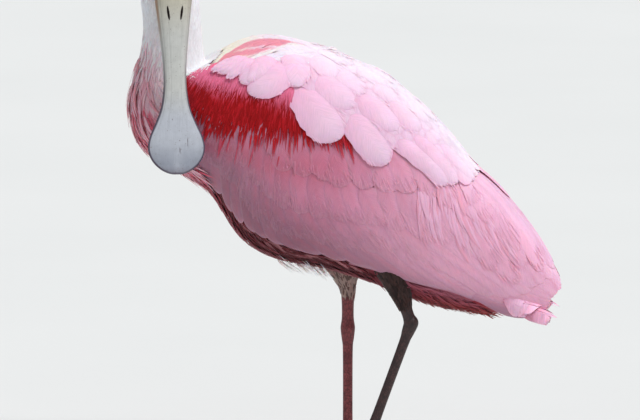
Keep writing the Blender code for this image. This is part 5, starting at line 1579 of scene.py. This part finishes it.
def lay_scapulars(coat, side, draw):
    """The broad lobes over the shoulder, on a bed of smaller feathers of the same colour."""
    a, b = scatter(WINGS, (6.5, 12.4), degrees(3, 56), 11 * MM, 8 * MM, draw)
    keep = (np.degrees(b) < np.interp(a, (6.5, 7.5, 9, 10.5, 12.4), (44, 44, 54, 56, 40))) & (a > 7.2)
    a, b = a[keep], b[keep]
    lean = np.radians(np.interp(np.degrees(b), (4, 20, 40), (3, 12, 26)) * (1 - smooth_step(9, 11, a)))
    coat.lay(WINGS, a, side * b, lean, 36 * MM, 9 * MM, level_rows(draw, len(a), (-2.2, 0.1, 0.3), 0.1), COVERT,
             scapular_pink, draw, limit=wing_limits)
    table = np.array(SCAPULARS, float)
    jitter = draw.uniform(-1, 1, table.shape)
    s, phi = table[:, 0] + 0.04 * jitter[:, 0], np.radians(table[:, 1] + 0.6 * jitter[:, 1])
    lean, length, half, tip = np.radians(table[:, 2] + 1.5 * jitter[:, 2]), table[:, 3] * MM, table[:, 4] * MM, table[:, 5] * MM
    heights = np.stack([np.full(len(s), -2.8 * MM), tip + 0.2 * MM, tip + 0.1 * MM], -1)
    low = table[:, 1] > 31
    for group, style in ((low, SCAPULA), (~low, SCAPULA._replace(camber=0.8, rows=20, cols=11))):
        coat.lay(WINGS, s[group], side * phi[group], lean[group], length[group], half[group], heights[group], style,
                 scapular_pink, draw, limit=wing_limits)
    lift = np.where(low, 0.6, 0.3) * MM
    lay_fringe(coat, side, s, phi, lean, length, half, tip + lift, SCAPULA, scapular_edge, draw, 36)


# Border of the red shoulder with the scapulars, where magenta turns red, and where it fades below, by station
RED_TOP = ((4.2, 4.9, 5.5, 6.1, 6.6, 6.9, 7.3, 7.7, 8.0, 9.5, 9.9), (66, 60, 63, 66, 70, 72, 75, 76, 70, 77, 74))
RED_DEEP = ((4.2, 5.1, 6.0, 6.8, 7.3, 7.7, 8.3, 9.0), (77, 79, 81, 81, 78, 76, 74, 68))
RED_LIE = ((4.5, 6, 7, 8, 9, 9.7), (66, 74, 72, 66, 58, 48))
RED_LOW = ((4.2, 5.5, 6.5, 6.95, 7.3, 7.7, 8.05, 8.4, 8.7, 9.1, 9.5, 9.95),
           (112, 108, 105, 108, 107, 104, 99, 94, 90, 86, 82, 79))


def lay_red(coat, side, draw):
    """Fine carmine plumes that run down the shoulder and end in streaks over the pink coverts."""
    a, b = scatter(WINGS, (4.2, 9.8), degrees(44, 100), 6 * MM, 3.6 * MM, draw)
    phi = np.degrees(b)
    keep = (phi < np.interp(a, *RED_LOW) - 19) & (phi > np.interp(a, *RED_TOP) - 16)
    a, b = a[keep], b[keep]
    lean = np.radians(np.interp(a, *RED_LIE))
    coat.lay(WINGS, a, side * b, lean, 19 * MM, 3.2 * MM, np.array((-2.0, -0.9, -0.7)) * MM, CONTOUR._replace(camber=0.2), covert_red, draw)
    a, b = scatter(WINGS, (4.2, 10.1), degrees(44, 116), 2.8 * MM, 1.35 * MM, draw)
    phi = np.degrees(b)
    low = np.interp(a, *RED_LOW) - 15 + draw.normal(0, 2.5, len(a)) + draw.gamma(1.2, 3.0, len(a))
    keep = (phi < low) & (phi > np.interp(a, *RED_TOP) - 14)
    a, b = a[keep], b[keep]
    lean = np.radians(np.interp(a, *RED_LIE) + draw.normal(0, 4, len(a)))
    length = draw.uniform(12, 24, len(a)) * MM
    heights = np.stack([np.full(len(a), -1.6), np.full(len(a), -0.6), draw.uniform(-0.9, -0.1, len(a))], -1) * MM
    coat.lay(WINGS, a, side * b, lean, length, draw.uniform(0.5, 0.95, len(a)) * MM, heights, PLUME, covert_red, draw,
             bend=draw.normal(-0.05, 0.12, len(a)))


def lay_wisps(coat, side, draw):
    """Loose pale and coral strands that curve down over the rear of the wing."""
    count = 110
    a = draw.uniform(12.0, 14.3, count)
    phi = 62 - 8 * (a - 12.3) + draw.uniform(-10, 22, count)
    lean = np.radians(66 - 14 * (a - 12.0) + draw.normal(0, 6, count))
    low = -1.15 + 0.3 * draw.uniform(-1, 1, count)
    heights = np.stack([np.full(count, -2.2), low, low + 0.1], -1) * MM
    coat.lay(WINGS, a, side * np.radians(phi), lean, draw.uniform(26, 48, count) * MM, draw.uniform(0.9, 2.2, count) * MM,
             heights, PLUME._replace(rows=10), wisp_pink, draw, bend=draw.normal(-0.35, 0.12, count), limit=wing_limits)


def wings(materials):
    for side, word in ((LEFT, "left"), (RIGHT, "right")):
        draw = np.random.default_rng(SEED + 20)
        wing_arm(side, materials["wing"], "wing_" + word)
        coat = Coat("flight_feathers_" + word)
        lay_rows(coat, side, FLIGHT_ROWS, wing_pink, draw)
        coat.make(materials["wing"], "wing_plumage")
        coat = Coat("wing_coverts_" + word)
        lay_rows(coat, side, COVERT_ROWS, wing_pink, draw)
        lay_wisps(coat, side, draw)
        coat.make(materials["wing"], "wing_plumage")
        coat = Coat("shoulder_plumes_" + word)
        lay_red(coat, side, draw)
        coat.make(materials["red"], "wing_plumage")
        coat = Coat("scapulars_" + word)
        lay_scapulars(coat, side, draw)
        coat.make(materials["wing"], "wing_plumage")


# Studio

IMAGE = (640, 420)
METRES_PER_PIXEL = 0.89 * MM
CAMERA_DISTANCE, CAMERA_TILT, SENSOR = 6.0, math.radians(8), 36.0
AIM = Vector((-24.9, -24.0, 234.4)) * MM


def camera():
    data = bpy.data.cameras.new("camera")
    data.sensor_width = SENSOR
    data.lens = SENSOR * CAMERA_DISTANCE / (IMAGE[0] * METRES_PER_PIXEL)
    data.clip_end = 100
    obj = bpy.data.objects.new("camera", data)
    view = Vector((0, math.cos(CAMERA_TILT), -math.sin(CAMERA_TILT)))
    obj.location = AIM - view * CAMERA_DISTANCE
    obj.rotation_euler = view.to_track_quat("-Z", "Y").to_euler()
    bpy.context.scene.collection.objects.link(obj)
    bpy.context.scene.camera = obj


def area_light(name, place, size, power, colour=(1, 1, 1)):
    data = bpy.data.lights.new(name, "AREA")
    data.shape, data.size, data.energy, data.color = "DISK", size, power, colour
    obj = bpy.data.objects.new(name, data)
    obj.location = place
    obj.rotation_euler = (Vector((0, 0, 0.25)) - Vector(place)).to_track_quat("-Z", "Y").to_euler()
    bpy.context.scene.collection.objects.link(obj)


def studio():
    size = 14.0
    corners = [(-size, -size, 0), (size, -size, 0), (size, size, 0), (-size, size, 0)]
    obj = mesh_object("floor", np.array(corners), np.arange(4), np.array([0]))
    obj.data.materials.append(floor_material())
    world = bpy.data.worlds.new("world")
    bpy.context.scene.world = world
    world.use_nodes = True
    world.node_tree.nodes["Background"].inputs["Color"].default_value = (0.93, 0.96, 1.0, 1)
    world.node_tree.nodes["Background"].inputs["Strength"].default_value = 0.42
    sun = bpy.data.lights.new("sky_panel", "SUN")
    sun.energy, sun.angle = 2.75, math.radians(30)
    lamp = bpy.data.objects.new("sky_panel", sun)
    lamp.rotation_euler = Vector((0.48, -0.30, 1.0)).to_track_quat("Z", "Y").to_euler()
    bpy.context.scene.collection.objects.link(lamp)
    area_light("fill", (-2.6, -3.4, 1.6), 2.4, 9)
    bpy.context.scene.view_settings.view_transform = "Standard"


def main():
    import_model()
    camera()
    studio()
    feather = plumage_material("feather", 1.5, 0.25, 0.08, 0.15)
    plume = plumage_material("plume", 2.2, 0.35, 0.12, 0.15)
    red = plumage_material("red_plume", 2.2, 0.35, 0.2, 0.0)
    skin(skin_material(), ["head", "neck_upper"])
    horn = bill_material()
    bill_half("bill_top", True, horn, "bill_upper")
    bill_half("bill_bottom", False, horn, "bill_lower")
    eyes(eye_material())
    neck_coat(plume)
    breast_coat(plume)
    mantle_coat(plume)
    back_coat(feather)
    belly_coat(plume)
    thigh_coat(plume)
    tail(feather, plume)
    wings({"wing": feather, "red": red})
    claws = claw_material()
    red_leg = leg_material("red_leg", srgb(150, 66, 70), srgb(104, 38, 44))
    dark_leg = leg_material("dark_leg", srgb(72, 44, 42), srgb(42, 26, 26))
    leg("right", RIGHT_THIGH, RIGHT_ANKLE, RIGHT_BALL, RIGHT_TOES, FLAT_RUN, HIND_FLAT, red_leg, claws, "red_leg")
    leg("left", LEFT_THIGH, LEFT_ANKLE, LEFT_BALL, LEFT_TOES, RAISED_RUN, HIND_RAISED, dark_leg, claws, "dark_leg")


main()
